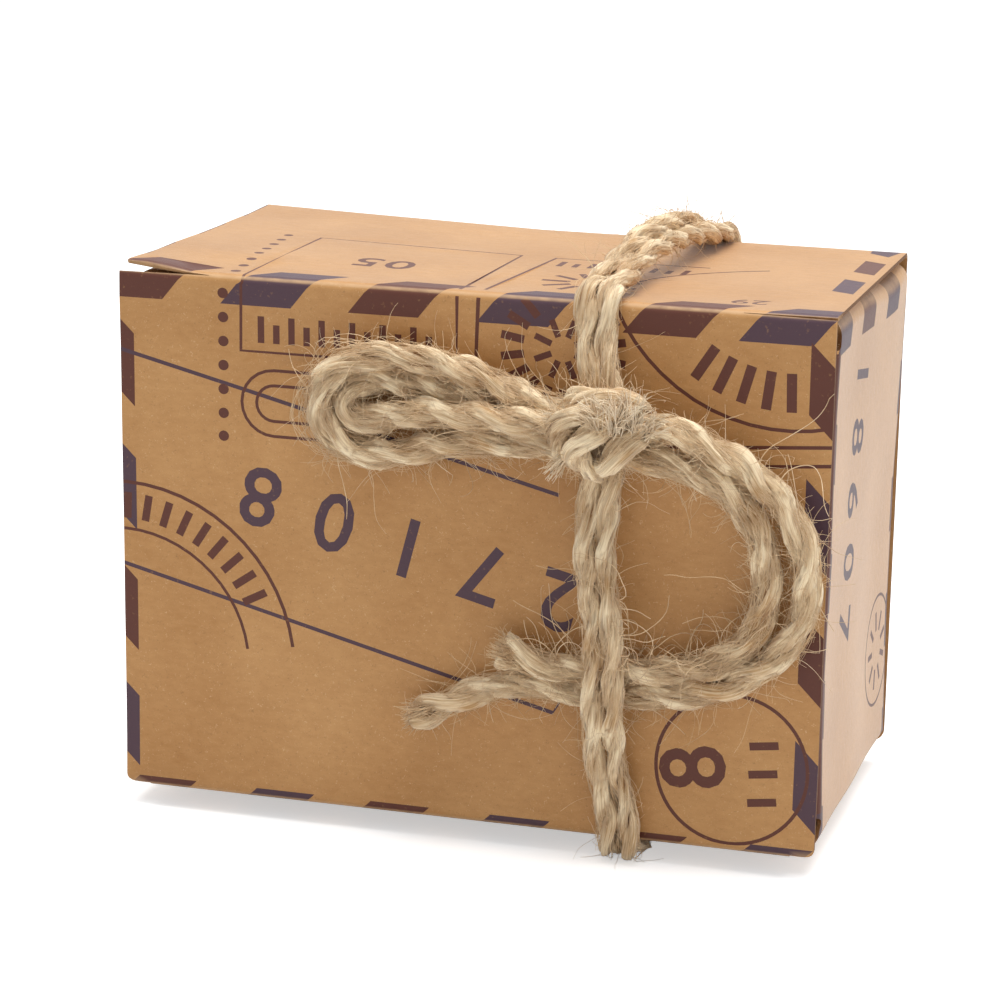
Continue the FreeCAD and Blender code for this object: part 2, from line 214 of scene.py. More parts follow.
def kraft_card(name, ink=None, paper=("#AF7C43", "#C7965E"), gloss=0.5, sheen=0.5):
    """Unbleached kraft card: matt brown paper with dark and pale fibres, cloudy where the
    pulp lay thicker, and rubbed pale on its creases. Ink sinks in, and leaves pinholes."""
    made = bpy.data.materials.new(name)
    made.use_nodes = True
    shader = made.node_tree.nodes["Principled BSDF"]
    place = node(made, "TexCoord").outputs["Object"]
    # pulp clouds about 12 mm across, and a grain of about 0.9 mm, drawn out along X
    cloud = node(made, "TexNoise", {"Vector": place, "Scale": 1 / 0.012, "Detail": 2.0})
    drawn = node(made, "Mapping", {"Vector": place, "Scale": (0.45, 1, 1)})
    grain = node(made, "TexNoise", {"Vector": drawn.outputs[0], "Scale": 1 / 0.0009,
                                    "Detail": 5.0, "Roughness": 0.7})
    # single fibres 0.3 mm apart, drawn coarser than real ones so that they show
    fibre = node(made, "TexNoise", {"Vector": place, "Scale": 1 / 0.0003, "Detail": 2.0,
                                    "Distortion": 1.5})
    tone = node(made, "Math", {0: cloud.outputs["Fac"], 1: grain.outputs["Fac"]},
                operation="ADD")
    tone = node(made, "MapRange", {"Value": tone.outputs[0], "From Min": 0.6,
                                   "From Max": 1.4})
    body = node(made, "Mix", {"Factor": tone.outputs[0], 6: linear(paper[0]),
                              7: linear(paper[1])}, data_type="RGBA")
    fleck = node(made, "MapRange", {"Value": fibre.outputs["Fac"], "From Min": 0.62,
                                    "From Max": 0.74, "To Max": 0.5})
    pale = node(made, "MapRange", {"Value": fibre.outputs["Fac"], "From Min": 0.36,
                                   "From Max": 0.26, "To Max": 0.45})
    layers = [(fleck, "#8A6238"), (pale, "#E4C69C")]
    if ink:
        # pinholes about 0.5 mm apart, where a fibre kept the ink off
        holes = node(made, "TexNoise", {"Vector": place, "Scale": 1 / 0.0005,
                                        "Detail": 3.0})
        cover = node(made, "MapRange", {"Value": holes.outputs["Fac"], "From Min": 0.24,
                                        "From Max": 0.36, "To Min": 0.74, "To Max": 0.97})
        layers.append((cover, ink))
    # creases: the outer layer cracks and is rubbed pale in patches about 2 mm long
    crease = node(made, "Attribute", attribute_name="rubbed").outputs["Fac"]
    patch = node(made, "TexNoise", {"Vector": place, "Scale": 1 / 0.0016, "Detail": 4.0})
    patch = node(made, "MapRange", {"Value": patch.outputs["Fac"], "From Min": 0.30,
                                    "From Max": 0.70, "To Min": 0.45, "To Max": 0.8})
    worn = node(made, "Math", {0: crease, 1: patch.outputs[0]}, operation="MULTIPLY")
    for amount, colour in layers + [(worn, "#CDA578")]:
        body = node(made, "Mix", {"Factor": amount.outputs[0], 6: body.outputs[2],
                                  7: linear(colour)}, data_type="RGBA")
    rough = node(made, "Bump", {"Height": grain.outputs["Fac"], "Strength": 0.35,
                                "Distance": 0.00012})
    fine = node(made, "Bump", {"Height": fibre.outputs["Fac"], "Strength": 0.3,
                               "Distance": 0.00005, "Normal": rough.outputs[0]})
    fill(made, shader, {"Base Color": body.outputs[2], "Normal": fine.outputs[0],
                        "Roughness": 0.55 if ink else 0.58, "Specular IOR Level": gloss,
                        "Sheen Weight": 0.15 if ink else sheen, "Sheen Roughness": 0.35})
    return made


# a cut edge is all open fibre, so it is darker than the face and takes no gloss; its dark brown is partly that fibre
# and partly painted shade, for the dark gap between the front panel and each end
card_finishes = [
    kraft_card("kraft_card"),
    kraft_card("maroon_ink_on_kraft", ink="#521F12"),
    kraft_card("violet_ink_on_kraft", ink="#42293A"),
    kraft_card("kraft_card_cut_edge_and_painted_shade", paper=("#5E3C22", "#7E5632"), gloss=0.15, sheen=0.0),
]
KRAFT, MAROON, VIOLET, CUT_EDGE = range(4)


def walk(corners, radii):
    """Card that runs through the corners, each a quarter turn to the right. Gives the
    function that turns a distance along it, and a depth below its face, into a place."""
    marks = [0.0]
    for a, b in zip(corners, corners[1:]):
        marks.append(marks[-1] + (Vector(b) - Vector(a)).length)

    def at(along, depth):
        run = max(i for i in range(len(marks) - 1) if i == 0 or along >= marks[i])
        ahead = (Vector(corners[run + 1]) - Vector(corners[run])).normalized()
        for i in (run, run + 1):
            if 0 < i < len(marks) - 1 and abs(along - marks[i]) < radii[i - 1]:
                into = (Vector(corners[i]) - Vector(corners[i - 1])).normalized()
                out = (Vector(corners[i + 1]) - Vector(corners[i])).normalized()
                turn = (along - marks[i] + radii[i - 1]) / (2 * radii[i - 1]) * math.pi / 2
                centre = Vector(corners[i]) + (out - into) * radii[i - 1]
                face = into * math.sin(turn) - out * math.cos(turn)
                return centre + face * (radii[i - 1] - depth)
        face = Vector((-ahead.y, ahead.x))
        return Vector(corners[run]) + ahead * (along - marks[run]) - face * depth
    return at


def add_piece(name, verts, faces, materials, slot):
    """Add a smooth piece. Nothing on the pack moves by itself, so all ride on its root."""
    mesh = bpy.data.meshes.new(name)
    mesh.from_pydata(verts, [], faces)
    for polygon in mesh.polygons:
        polygon.use_smooth = True
    for material in materials:
        mesh.materials.append(material)
    piece = bpy.data.objects.new(name, mesh)
    bpy.context.scene.collection.objects.link(piece)
    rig.slot(piece, slot)
    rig.ride(piece, "root")
    return piece


SPACING = 2.4                    # between the points on the open card
SPARE = 0.3                      # least room between a crease's own points and its ends
COLUMN_STEPS = 24                # gaps between the points down one column


def folded_card(name, outline, prints, creases, fold, rubbed, columns=()):
    """Cut the flat blank with its prints let into it, then fold it up with its thickness.
    Creases run across the blank and columns along it, each given as its place, start and
    end. Of prints that overlap, the later one shows."""
    points, edges, faces = [], [], []
    for loop in [outline] + [shape for _, shape in prints]:
        start, loop = len(points), [Vector(p) for p in loop]
        if sum(a.cross(b) for a, b in zip(loop, loop[1:] + loop[:1])) < 0:
            loop.reverse()
        points += loop
        faces.append(list(range(start, len(points))))
    left, right = min(u for u, _ in outline), max(u for u, _ in outline)
    low_v, high_v = min(v for _, v in outline), max(v for _, v in outline)
    across = [left + SPACING * i for i in range(int((right - left) / SPACING) + 2)]
    for v, u_low, u_high in creases:
        start = len(points)
        row = [u_low] + [u for u in across if u_low + SPARE < u < u_high - SPARE] + [u_high]
        points += [Vector((u, v)) for u in row]
        edges += [(i, i + 1) for i in range(start, len(points) - 1)]
    for u, v_low, v_high in columns:
        start = len(points)
        points += [Vector((u, v_low + (v_high - v_low) * i / COLUMN_STEPS))
                   for i in range(COLUMN_STEPS + 1)]
        edges += [(i, i + 1) for i in range(start, len(points) - 1)]
    taken = [v for v, _, _ in creases]
    rows = int((high_v - low_v) / SPACING)
    for j in range(1, rows):
        v = low_v + j * (high_v - low_v) / rows
        if all(abs(v - other) > SPACING / 3 for other in taken):
            points += [Vector((u + SPACING * 0.5 * (j % 2), v)) for u in across]
    flat, _, cells, _, _, owners = delaunay_2d_cdt(points, edges, faces, 0, 1e-5)
    cells = [(cell, max(owner)) for cell, owner in zip(cells, owners) if 0 in owner]
    used = sorted({i for cell, _ in cells for i in cell})
    new = {old: i for i, old in enumerate(used)}
    count = len(used)
    verts = [fold(flat[i].x, flat[i].y, depth) * MM for depth in (0, BOARD) for i in used]
    faces, finish, sides = [], [], {}
    for cell, owner in cells:
        a, b, c = (new[i] for i in cell)
        p, q, r = (flat[i] for i in cell)
        if (q - p).cross(r - p) < 0:
            b, c = c, b
        faces += [(a, b, c), (c + count, b + count, a + count)]
        finish += [prints[owner - 1][0] if owner else KRAFT, KRAFT]
        for edge in ((a, b), (b, c), (c, a)):
            sides[edge] = sides.get(edge, 0) + 1
    for a, b in sides:
        if (b, a) not in sides:
            faces.append((b, a, a + count, b + count))
            finish.append(CUT_EDGE)
    piece = add_piece(name, verts, faces, card_finishes, "kraft_card")
    for polygon, index in zip(piece.data.polygons, finish):
        polygon.material_index = index
    wear = piece.data.attributes.new("rubbed", "FLOAT", "POINT")
    wear.data.foreach_set("value", [rubbed(flat[i].x, flat[i].y) for i in used] * 2)
    piece.data.set_sharp_from_angle(angle=math.radians(40))
    return piece


FOOT_GAP = 0.3                   # the back panel ends this far above the table
GLUE_FOLD = GLUE_FLAP + BOARD    # places along the blank of its creases
FOOT_CREASE = GLUE_FOLD + DEPTH - BOARD
TOP_CREASE = FOOT_CREASE + HEIGHT
BACK_CREASE = TOP_CREASE + DEPTH
BACK_END = BACK_CREASE + HEIGHT - FOOT_GAP
tube = walk([(BACK - BOARD, FOOT + GLUE_FOLD), (BACK - BOARD, FOOT), (FRONT, FOOT),
             (FRONT, TOP), (BACK, TOP), (BACK, FOOT + FOOT_GAP)], [CREASE] * 4)


def smooth(value):
    """Ease from 0 to 1, with no corner at either end."""
    value = min(1, max(0, value))
    return value * value * (3 - 2 * value)


def stroke(points, width):
    """The outline of a line of that width through the points."""
    points = [Vector(p) for p in points]
    sides = [[], []]
    for i, p in enumerate(points):
        ahead = (points[min(i + 1, len(points) - 1)] - points[max(i - 1, 0)]).normalized()
        aside = Vector((-ahead.y, ahead.x)) * width / 2
        sides[0].append(p + aside)
        sides[1].append(p - aside)
    return sides[0] + sides[1][::-1]


def arc(ink, centre, radius, start, end, width):
    """A curved line of that width; angles in degrees."""
    steps = max(4, int(abs(end - start) / 6))
    angles = [math.radians(start + (end - start) * i / steps) for i in range(steps + 1)]
    return (ink, stroke([(centre[0] + radius * math.cos(a), centre[1] + radius * math.sin(a))
                         for a in angles], width))


def ring(ink, centre, radius, width):
    """A round line, printed as two half circles."""
    return [arc(ink, centre, radius, start, start + 180, width) for start in (0, 180)]


def dot(ink, centre, radius):
    """A filled round spot."""
    return (ink, [(centre[0] + radius * math.cos(math.radians(a)),
                   centre[1] + radius * math.sin(math.radians(a))) for a in range(0, 360, 24)])


def rays(ink, centre, radius, length, start, end, count, width):
    """Short bars set round a circle."""
    made = []
    for i in range(count):
        a = math.radians(start + (end - start) * (i + 0.5) / count)
        out = Vector((math.cos(a), math.sin(a)))
        made.append((ink, stroke([Vector(centre) + out * radius,
                                  Vector(centre) + out * (radius + length)], width)))
    return made


def mesh_of(curve):
    """The mesh that Blender makes of a curve or a text, which is then removed."""
    carrier = bpy.data.objects.new(curve.name, curve)
    mesh = bpy.data.meshes.new_from_object(carrier)
    bpy.data.objects.remove(carrier)
    bpy.data.curves.remove(curve)
    return mesh


def numerals(ink, digits, size, place, turn, spacing=1.0):
    """Plain numerals as outlines, with the holes in them as bare card."""
    text = bpy.data.curves.new("numerals", "FONT")
    text.body, text.size, text.resolution_u = digits, size, 3
    text.align_x, text.align_y = "CENTER", "CENTER"
    text.space_character, text.offset = spacing, size * 0.012
    mesh = mesh_of(text)
    sides = {(loop[i], loop[(i + 1) % len(loop)]) for loop in
             (list(p.vertices) for p in mesh.polygons) for i in range(len(loop))}
    ahead = {a: b for a, b in sides if (b, a) not in sides}
    spin = Matrix.Rotation(math.radians(turn), 2)
    made = []
    while ahead:
        start = next(iter(ahead))
        loop, at = [], start
        while at in ahead:
            loop.append(at)
            at = ahead.pop(at)
        shape = [spin @ mesh.vertices[i].co.xy + Vector(place) for i in loop]
        area = sum(a.cross(b) for a, b in zip(shape, shape[1:] + shape[:1]))
        made.append((ink if area > 0 else KRAFT, shape))
    made.sort(key=lambda item: item[0] == KRAFT)
    bpy.data.meshes.remove(mesh)
    return made


def front(x, z):
    """A place on the flat blank, from the front panel's lower left corner."""
    return (x - HALF, FOOT_CREASE + z)


def rule(ink, width, *places):
    """A line of that width through places from the front panel's lower left corner."""
    return (ink, stroke([front(x, z) for x, z in places], width))


def bars(start, pitch, count, foot, head, width):
    """A row of upright bars, every other one shorter."""
    return [rule(MAROON, width, (start + pitch * i, foot),
                 (start + pitch * i, head - 0.9 * (i % 2))) for i in range(count)]


def edge_stripes(starts, length, near, far, slant, upright=False, first=MAROON):
    """Slanted stripes along an edge, in the two inks by turns."""
    made = []
    for i, start in enumerate(starts):
        ink = first if i % 2 == 0 else MAROON + VIOLET - first
        shape = [(start, near), (start + length, near), (start + length + slant, far),
                 (start + slant, far)]
        made.append((ink, [front(q, p) if upright else front(p, q) for p, q in shape]))
    return made


prints = []
# border of slanted stripes, folded over each edge of the front and the back panel
prints += edge_stripes([-3.0, 11.6, 26.2, 40.8, 57.0, 69.6], 8.0, 56.7, 63.7, 5.6)
prints += edge_stripes([-1.8, 12.4, 26.0, 40.0, 55.6, 69.6], 6.9, -3.0, 1.2, 3.4)
prints += edge_stripes([4.9, 18.6, 32.7, 46.9], 8.3, -1.0, 1.6, -2.6, True, VIOLET)[::-1]
prints += edge_stripes([5.6, 19.9, 34.6, 49.3], 7.8, 77.4, 81.0, -3.6, True, VIOLET)
prints += edge_stripes([65.2, 80.8, 94.8], 8.2, -1.0, 0.22, 0.6, True, VIOLET)
prints += edge_stripes([76.6, 89.8], 8.0, 76.3, 78.9, -1.4, True, VIOLET)
prints.append((VIOLET, [front(76.0, 102.4), front(78.4, 100.8), front(79.6, 104.6),
                        front(76.0, 104.6)]))
prints += edge_stripes([8.0 + 14.4 * i for i in range(5)], 7.0, 105.6, 110.0, 3.2)
prints += edge_stripes([2.0 + 14.4 * i for i in range(6)], 7.0, 161.5, 166.0, 3.0)
prints += edge_stripes([112.0 + 14.4 * i for i in range(4)], 7.0, -1.0, 1.6, 1.4, True)
prints += edge_stripes([114.0 + 14.4 * i for i in range(4)], 7.0, 78.0, 81.0, -1.4, True)
# two slanted rules, with a row of plain numerals between them
prints += [rule(VIOLET, 0.45, (-0.5, 50.9), (50.4, 38.3)),
           rule(VIOLET, 0.45, (-0.5, 26.3), (50.3, 13.7), (51.8, 16.4))]
prints += numerals(VIOLET, "2 7 1 0 8", 9.6, front(33.5, 31.2), 166, 1.15)
# arcs and bars at the left, a perforation of dots, and a capsule
prints += [arc(MAROON, front(0, 15.4), 20.2, 8, 95, 0.4),
           arc(MAROON, front(0, 15.4), 14.8, 8, 95, 0.35)]
prints += rays(MAROON, front(0, 15.4), 16.0, 3.0, 24, 92, 9, 0.9)
for z in (57.9, 55.2, 52.5, 49.8, 47.1, 44.4, 41.8):
    prints.append(dot(MAROON, front(11.9, z), 0.6))
for i in range(8):
    prints.append(dot(MAROON, front(12.3 - 0.33 * i, 62.6 + 3.3 * i), 0.6))
for inset in (0.0, 1.7):
    round_end, open_end, low_z, high_z = 14.0 + inset, 27.5 - inset, 42.2 + inset, 49.6 - inset
    radius = (high_z - low_z) / 2
    bend = [(round_end + radius - radius * math.sin(math.radians(a)),
             low_z + radius + radius * math.cos(math.radians(a))) for a in range(0, 181, 15)]
    prints.append(rule(MAROON, 0.35, (open_end, high_z), *bend, (open_end, low_z)))
# two plain square marks over the front-to-top crease
prints.append(rule(MAROON, 0.4, (38.6, 59.5), (38.6, 51.6), (13.9, 51.6), (14.2, 85.8),
                   (38.4, 86.4), (38.6, 61.0)))
prints += numerals(MAROON, "05", 7.0, front(26.0, 73.5), 180, 1.1)
prints += bars(16.2, 1.75, 12, 52.6, 55.6, 0.75)
prints += [rule(MAROON, 0.45, (41.0, 59.5), (40.6, 46.0), (56.0, 44.6)),
           rule(MAROON, 0.4, (41.2, 62.0), (42.6, 86.0), (60.5, 86.6))]
prints += rays(MAROON, front(50.5, 54.4), 4.4, 2.6, 120, 420, 15, 0.9)
prints += rays(MAROON, front(50.5, 54.4), 1.4, 2.0, 0, 360, 8, 0.7)
prints += bars(44.2, 1.8, 9, 80.8, 84.0, 0.7)
prints += rays(MAROON, front(50.5, 71.5), 2.4, 3.2, 0, 360, 11, 0.8)
# round postal mark over the crease at the right, with its rules
prints.append(arc(MAROON, front(75.0, 68.0), 20.6, 112, 290, 0.4))
prints += rays(MAROON, front(75.0, 68.0), 14.4, 4.2, 233, 276, 5, 1.1)
prints += [rule(MAROON, 0.4, (62.0, 44.6), (80.5, 46.0)),
           rule(MAROON, 0.4, (64.5, 42.6), (80.5, 44.0))]
prints += numerals(MAROON, "29", 4.2, front(69.4, 66.6), 180)
# ring with a numeral laid on its side, and three bars
prints += ring(MAROON, front(70.5, 9.4), 8.4, 0.4)
prints += numerals(MAROON, "8", 10.4, front(66.6, 9.2), 98)
prints += [rule(MAROON, 0.9, (72.4, 5.8 + 3.2 * i), (75.6, 6.2 + 3.2 * i)) for i in range(3)]
# back panel: two rules, numerals and a ring in the same style
prints += [rule(VIOLET, 0.45, (0, 118.0), (80, 137.0)),
           rule(VIOLET, 0.45, (0, 134.0), (80, 153.0))]
prints += numerals(VIOLET, "3 0 5 9", 9.6, front(40, 135.4), 13.4, 1.2)
prints += ring(MAROON, front(15, 152.0), 8.0, 0.4)
prints += numerals(MAROON, "6", 8.2, front(15, 152.0), 90)


def rows_over(crease, radius, count, parts):
    """Places of the rows of points that round a crease off, count on each side of it."""
    return [crease + step * radius / parts for step in range(-count, count + 1)]


# outline: slits beside the front-to-top crease, and rounded lower corners front and back
corner = [(HALF - CORNER * (1 - math.cos(math.radians(a))),
           CORNER * (1 - math.sin(math.radians(a)))) for a in range(0, 91, 18)]
right = [(HALF - GLUE_FLAP_INSET, 0.0), (HALF - GLUE_FLAP_INSET, GLUE_FOLD - 1.2),
         (HALF - END_FOLD, GLUE_FOLD), (HALF - END_FOLD, FOOT_CREASE)]
right += [(u, FOOT_CREASE + v) for u, v in corner[::-1]]
right += [(HALF, TOP_CREASE - SLIT_GAPE / 2), (HALF - SLIT, TOP_CREASE - SLIT_POINT),
          (HALF - SLIT, TOP_CREASE + SLIT_POINT), (HALF, TOP_CREASE + SLIT_GAPE / 2)]
right += [(HALF, v) for v in rows_over(BACK_CREASE, CREASE, 5, 5)]
right += [(u, BACK_END - v) for u, v in corner]
outline = right + [(-u, v) for u, v in right[::-1]]

WAVE = 0.22                      # in and out, in card that has been handled
SPRUNG_UP = 0.95                 # top panel at its left end
PULLED_BACK = 0.35               # and to the right of the front panel there
LEAN = 0.55                      # of the front panel's top left corner, to the left


def fold_tube(u, v, depth):
    """Fold the tube, with slight waves. Its left end is a little out of square: the top
    panel springs up beside its slit and stands back from the front panel, which leans.
    Each of these eases in over the length in millimetres that its place is divided by."""
    y, z = tube(v, depth)
    place = Vector(((low.x + high.x) / 2 + u, y, z))
    wave = noise.noise(Vector((u / 21, v / 19, 0))) * WAVE
    inner = min(1, min(abs(v - c) for c in (GLUE_FOLD, FOOT_CREASE, TOP_CREASE,
                                            BACK_CREASE)) / 9)
    facing = Vector((0, tube(v, 1)[0] - tube(v, 0)[0], tube(v, 1)[1] - tube(v, 0)[1]))
    place += facing * (abs(wave) * inner + 0.2 * smooth(inner))
    back, cut = v - TOP_CREASE, smooth((-u - HALF + SLIT) / 8)
    if back > (0 if u < SLIT - HALF else -CREASE):
        free = cut + (1 - cut) * smooth(back / 13)
        free *= 1 - max(0, back - DEPTH) / HEIGHT
        place.z += SPRUNG_UP * free * min(1, max(0, (-u - 4) / 36))
        place.x += (PULLED_BACK + 0.012 * back) * smooth((-u - 26) / 12) * free
    elif 0 < v - FOOT_CREASE:
        place.x -= LEAN * (v - FOOT_CREASE) / HEIGHT * smooth((-u - 20) / 20)
    return place


creases = []
for at in (GLUE_FOLD, FOOT_CREASE, TOP_CREASE, BACK_CREASE):
    reach = HALF - END_FOLD - 0.1 if at in (GLUE_FOLD, FOOT_CREASE) else HALF - 0.05
    for v in rows_over(at, CREASE, 5, 5):
        # the row on the slits' own line stops short of them
        row_reach = HALF - SLIT - 0.1 if v == TOP_CREASE else reach
        creases.append((v, -row_reach, row_reach))


def rubbed_tube(u, v):
    """How far each crease is rubbed pale, from 0 to 1."""
    away = min(abs(v - c) for c in (FOOT_CREASE, TOP_CREASE, BACK_CREASE))
    return 1 - smooth((away - 0.1) / 0.35)


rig.replaces(folded_card("carton_tube", outline, prints, creases, fold_tube, rubbed_tube),
            "carton")

# ---------------------------------------------------------------------------------------
# End panels. Each is hinged on the bottom panel by a soft fold, stands between two side
# ears folded into the carton, and turns in under the top panel as a tuck flap.
SHOULDER = 2.3                   # outside radius where the panel turns in
TUCK = 14.0
TUCK_LEVEL = TOP - BOARD - 0.15  # a hair under the top panel
EAR = 13.0
EAR_FACE = DEPTH / 2 - BOARD - 1.27
EAR_CREASE = 1.0                 # outside radius of the ears' folds
EAR_CLEAR = 1.2                  # from the panel's rounded folds to the ears
END_MIDDLE = (FRONT + BACK) / 2 + 0.75     # each stands a little nearer the back panel
BOW_IN = 0.35                    # of the panel between its folds
SWELL = 0.5                      # outwards, towards the top of the back
EDGE_DROP = 0.9                  # of its turned-in edge, below the top panel
TUCK_FOLD = TUCK + SHOULDER      # places along the panel of its folds
END_CREASE = TUCK_FOLD + TUCK_LEVEL - FOOT
EAR_TOP = TUCK_FOLD + SHOULDER + EAR_CLEAR
EAR_FOOT = END_CREASE - END_FOLD - EAR_CLEAR
PANEL_HALF = EAR_FACE - CREASE

upright = walk([(HALF - TUCK_FOLD, TUCK_LEVEL), (HALF, TUCK_LEVEL), (HALF, FOOT),
                (HALF - END_FOLD, FOOT)], [SHOULDER, END_FOLD])
level = walk([(HALF - CREASE - EAR, EAR_FACE), (HALF, EAR_FACE), (HALF, -EAR_FACE),
              (HALF - CREASE - EAR, -EAR_FACE)], [EAR_CREASE, EAR_CREASE])
EAR_FOLD = CREASE + EAR          # where the plan's first fold lies along it


def end_card(side, prints):
    """Cut and fold one end: u runs across it towards the back, v down from the tuck."""
    def fold(v, u, depth):
        if abs(u) > PANEL_HALF and TUCK_FOLD + SHOULDER < v < END_CREASE - END_FOLD:
            x, y = level(EAR_FOLD + EAR_FACE - u, depth)
            z = TUCK_LEVEL + TUCK_FOLD - v
        else:
            x, z = upright(v, depth)
            y = u
        bow = BOW_IN * math.sin(math.pi * min(1, max(0, (v - TUCK_FOLD) / 58)))
        bow += noise.noise(Vector((u / 16, v / 17, side * 5))) * 0.25
        x += (SWELL * smooth((y + 12) / 34) * (1 - smooth((v - TUCK_FOLD) / 45))
              * smooth((x - HALF + SHOULDER) / SHOULDER))
        # the drop is most in the middle of the edge, and little at the back corner
        z -= (EDGE_DROP * smooth((y + 6) / 18) * (1 - 0.8 * smooth((y - 11) / 9))
              * (1 - smooth((v - TUCK_FOLD) / 24)))
        return Vector(((x - bow * (1 if x > HALF - 0.9 else 0.2)) * side, y + END_MIDDLE, z))

    def rubbed(v, u):
        near = min(abs(v - TUCK_FOLD) / 2, abs(v - END_CREASE) / 2)
        return 0.8 * (1 - smooth((near - 0.3) / 0.6))

    def turned(shape):
        """The other way round, as folded_card takes its ear folds for the creases."""
        return [(v, u) for u, v in shape]

    wide, far = DEPTH / 2 - CREASE - 0.2, EAR_FACE + EAR
    half = [(PANEL_HALF - 5, 0), (PANEL_HALF - 1.5, 1.5), (PANEL_HALF, 5)]
    half += [(PANEL_HALF, v) for v in rows_over(TUCK_FOLD, SHOULDER, 6, 6.2)]
    half += [(PANEL_HALF, EAR_TOP - 0.3), (PANEL_HALF + 0.5, EAR_TOP), (far - 4, EAR_TOP + 1),
             (far, EAR_TOP + 6), (far, EAR_FOOT - 8), (far - 4, EAR_FOOT - 2),
             (PANEL_HALF + 0.5, EAR_FOOT), (PANEL_HALF, EAR_FOOT + 0.3),
             (PANEL_HALF, END_CREASE - 3.2), (wide - 0.6, END_CREASE - 1.6),
             (wide, END_CREASE - 0.6), (wide, END_CREASE + END_FOLD)]
    outline = half + [(-u, v) for u, v in half[::-1]]
    columns = [(v, 0.1 - PANEL_HALF, PANEL_HALF - 0.1)
               for fold_at, radius in ((TUCK_FOLD, SHOULDER), (END_CREASE, END_FOLD))
               for v in rows_over(fold_at, radius, 6, 6.2)]
    creases = [(sign * (EAR_FACE + step * EAR_CREASE / 4), EAR_TOP + 0.1, EAR_FOOT - 0.1)
               for sign in (-1, 1) for step in range(-4, 5)]
    return folded_card("carton_end_" + ("right" if side > 0 else "left"), turned(outline),
                       [(ink, turned(shape)) for ink, shape in prints], creases, fold, rubbed,
                       columns)


end_prints = []
for i, u in enumerate((-18.2, -4.6, 9.6)):
    end_prints.append(((VIOLET, MAROON)[i % 2],
                       [(u, 11.7), (u + 7.0, 11.7), (u + 4.7, 20.5), (u - 2.3, 20.5)]))
for i in range(4):
    v = 26.5 + 14.2 * i
    for way, ink in ((-1, (MAROON, VIOLET)[i % 2]), (1, (VIOLET, MAROON)[i % 2])):
        end_prints.append((ink, [(way * 24, v), (way * 18.9, v + 1.6), (way * 18.9, v + 8.2),
                                 (way * 24, v + 6.6)]))
end_prints += ring(MAROON, (14.0, 62.0), 6.6, 0.35)
end_prints += rays(MAROON, (14.0, 62.0), 2.4, 2.4, 0, 360, 9, 0.7)
# painted shade: maroon ink over both ear folds and onto the ears stands in for the dark shadow in the gap between each
# end panel and the front and back panels
shade_near, shade_far = EAR_FACE - 1.3, EAR_FACE + 6
shade_top, shade_foot = TUCK_FOLD + SHOULDER + 1.6, END_CREASE - END_FOLD - 1.8
for way in (-1, 1):
    end_prints.append((MAROON, [(way * shade_near, shade_top), (way * shade_far, shade_top),
                                (way * shade_far, shade_foot), (way * shade_near, shade_foot)]))
# the row of numerals runs down each end; on the right, u and v are as in a mirror
row = numerals(VIOLET, "1 8 6 0 7", 9.0, (0, 0), 82)
for side in (1, -1):
    number = [(ink, [(-7.0 - side * p.x, 39.0 + p.y) for p in shape]) for ink, shape in row]
    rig.replaces(end_card(side, end_prints + number), "carton")

# ---------------------------------------------------------------------------------------
# Twine band. Two-ply jute twine, 2.4 mm thick and laid to the right, goes twice round the
# carton side by side, drawn tight over the creases. Coarse bast fibres stand off it.
TWINE = 2.4
LAY = 12.0                       # length of one full turn of the two plies
PITCH = 2.35                     # between the two strands

KNOT_DEPTH = 8.4
KNOT_CLEAR = 0.2                 # between it and the front panel
KNOT = Vector((16.4, FRONT - KNOT_CLEAR - KNOT_DEPTH / 2, FOOT + 46.6))


def jute(name):
    """Retted jute: dry bast fibre, pale straw to tan in streaks that run with the twist, with painted shade where the
    plies meet and in the dips between fibre bundles. It scatters light softly, with a faint silky edge."""
    made = bpy.data.materials.new(name)
    made.use_nodes = True
    shader = made.node_tree.nodes["Principled BSDF"]
    across = node(made, "UVMap", uv_map="laid").outputs["UV"]
    # fibre bundles 0.14 mm wide, 34 of them round a ply, and about 4.5 mm long
    long = node(made, "Mapping", {"Vector": across, "Scale": (1 / 0.0045, 34, 1)})
    streak = node(made, "TexNoise", {"Vector": long.outputs[0], "Scale": 1.0, "Detail": 4.0,
                                     "Roughness": 0.6})
    place = node(made, "TexCoord").outputs["Object"]
    cloud = node(made, "TexNoise", {"Vector": place, "Scale": 1 / 0.006, "Detail": 2.0})
    mixed = node(made, "Math", {0: streak.outputs["Fac"], 1: cloud.outputs["Fac"]},
                 operation="ADD")
    tone = node(made, "MapRange", {"Value": mixed.outputs[0], "From Min": 0.76,
                                   "From Max": 1.14})
    body = node(made, "Mix", {"Factor": tone.outputs[0], 6: linear("#BE9463"),
                              7: linear("#FFEBC6")}, data_type="RGBA")
    # painted shade: the colour darkens towards #855C34 where the groove mask marks the plies' meeting and the dips of
    # the surface
    shade_in_grooves = node(made, "Attribute", attribute_name="groove_shade").outputs["Fac"]
    body = node(made, "Mix", {"Factor": shade_in_grooves, 6: body.outputs[2], 7: linear("#855C34")},
                data_type="RGBA")
    ridge = node(made, "Bump", {"Height": streak.outputs["Fac"], "Strength": 0.9,
                                "Distance": 0.0002})
    fill(made, shader, {"Base Color": body.outputs[2], "Normal": ridge.outputs[0],
                        "Roughness": 0.8, "Specular IOR Level": 0.25, "Sheen Weight": 0.25,
                        "Sheen Roughness": 0.5})
    return made


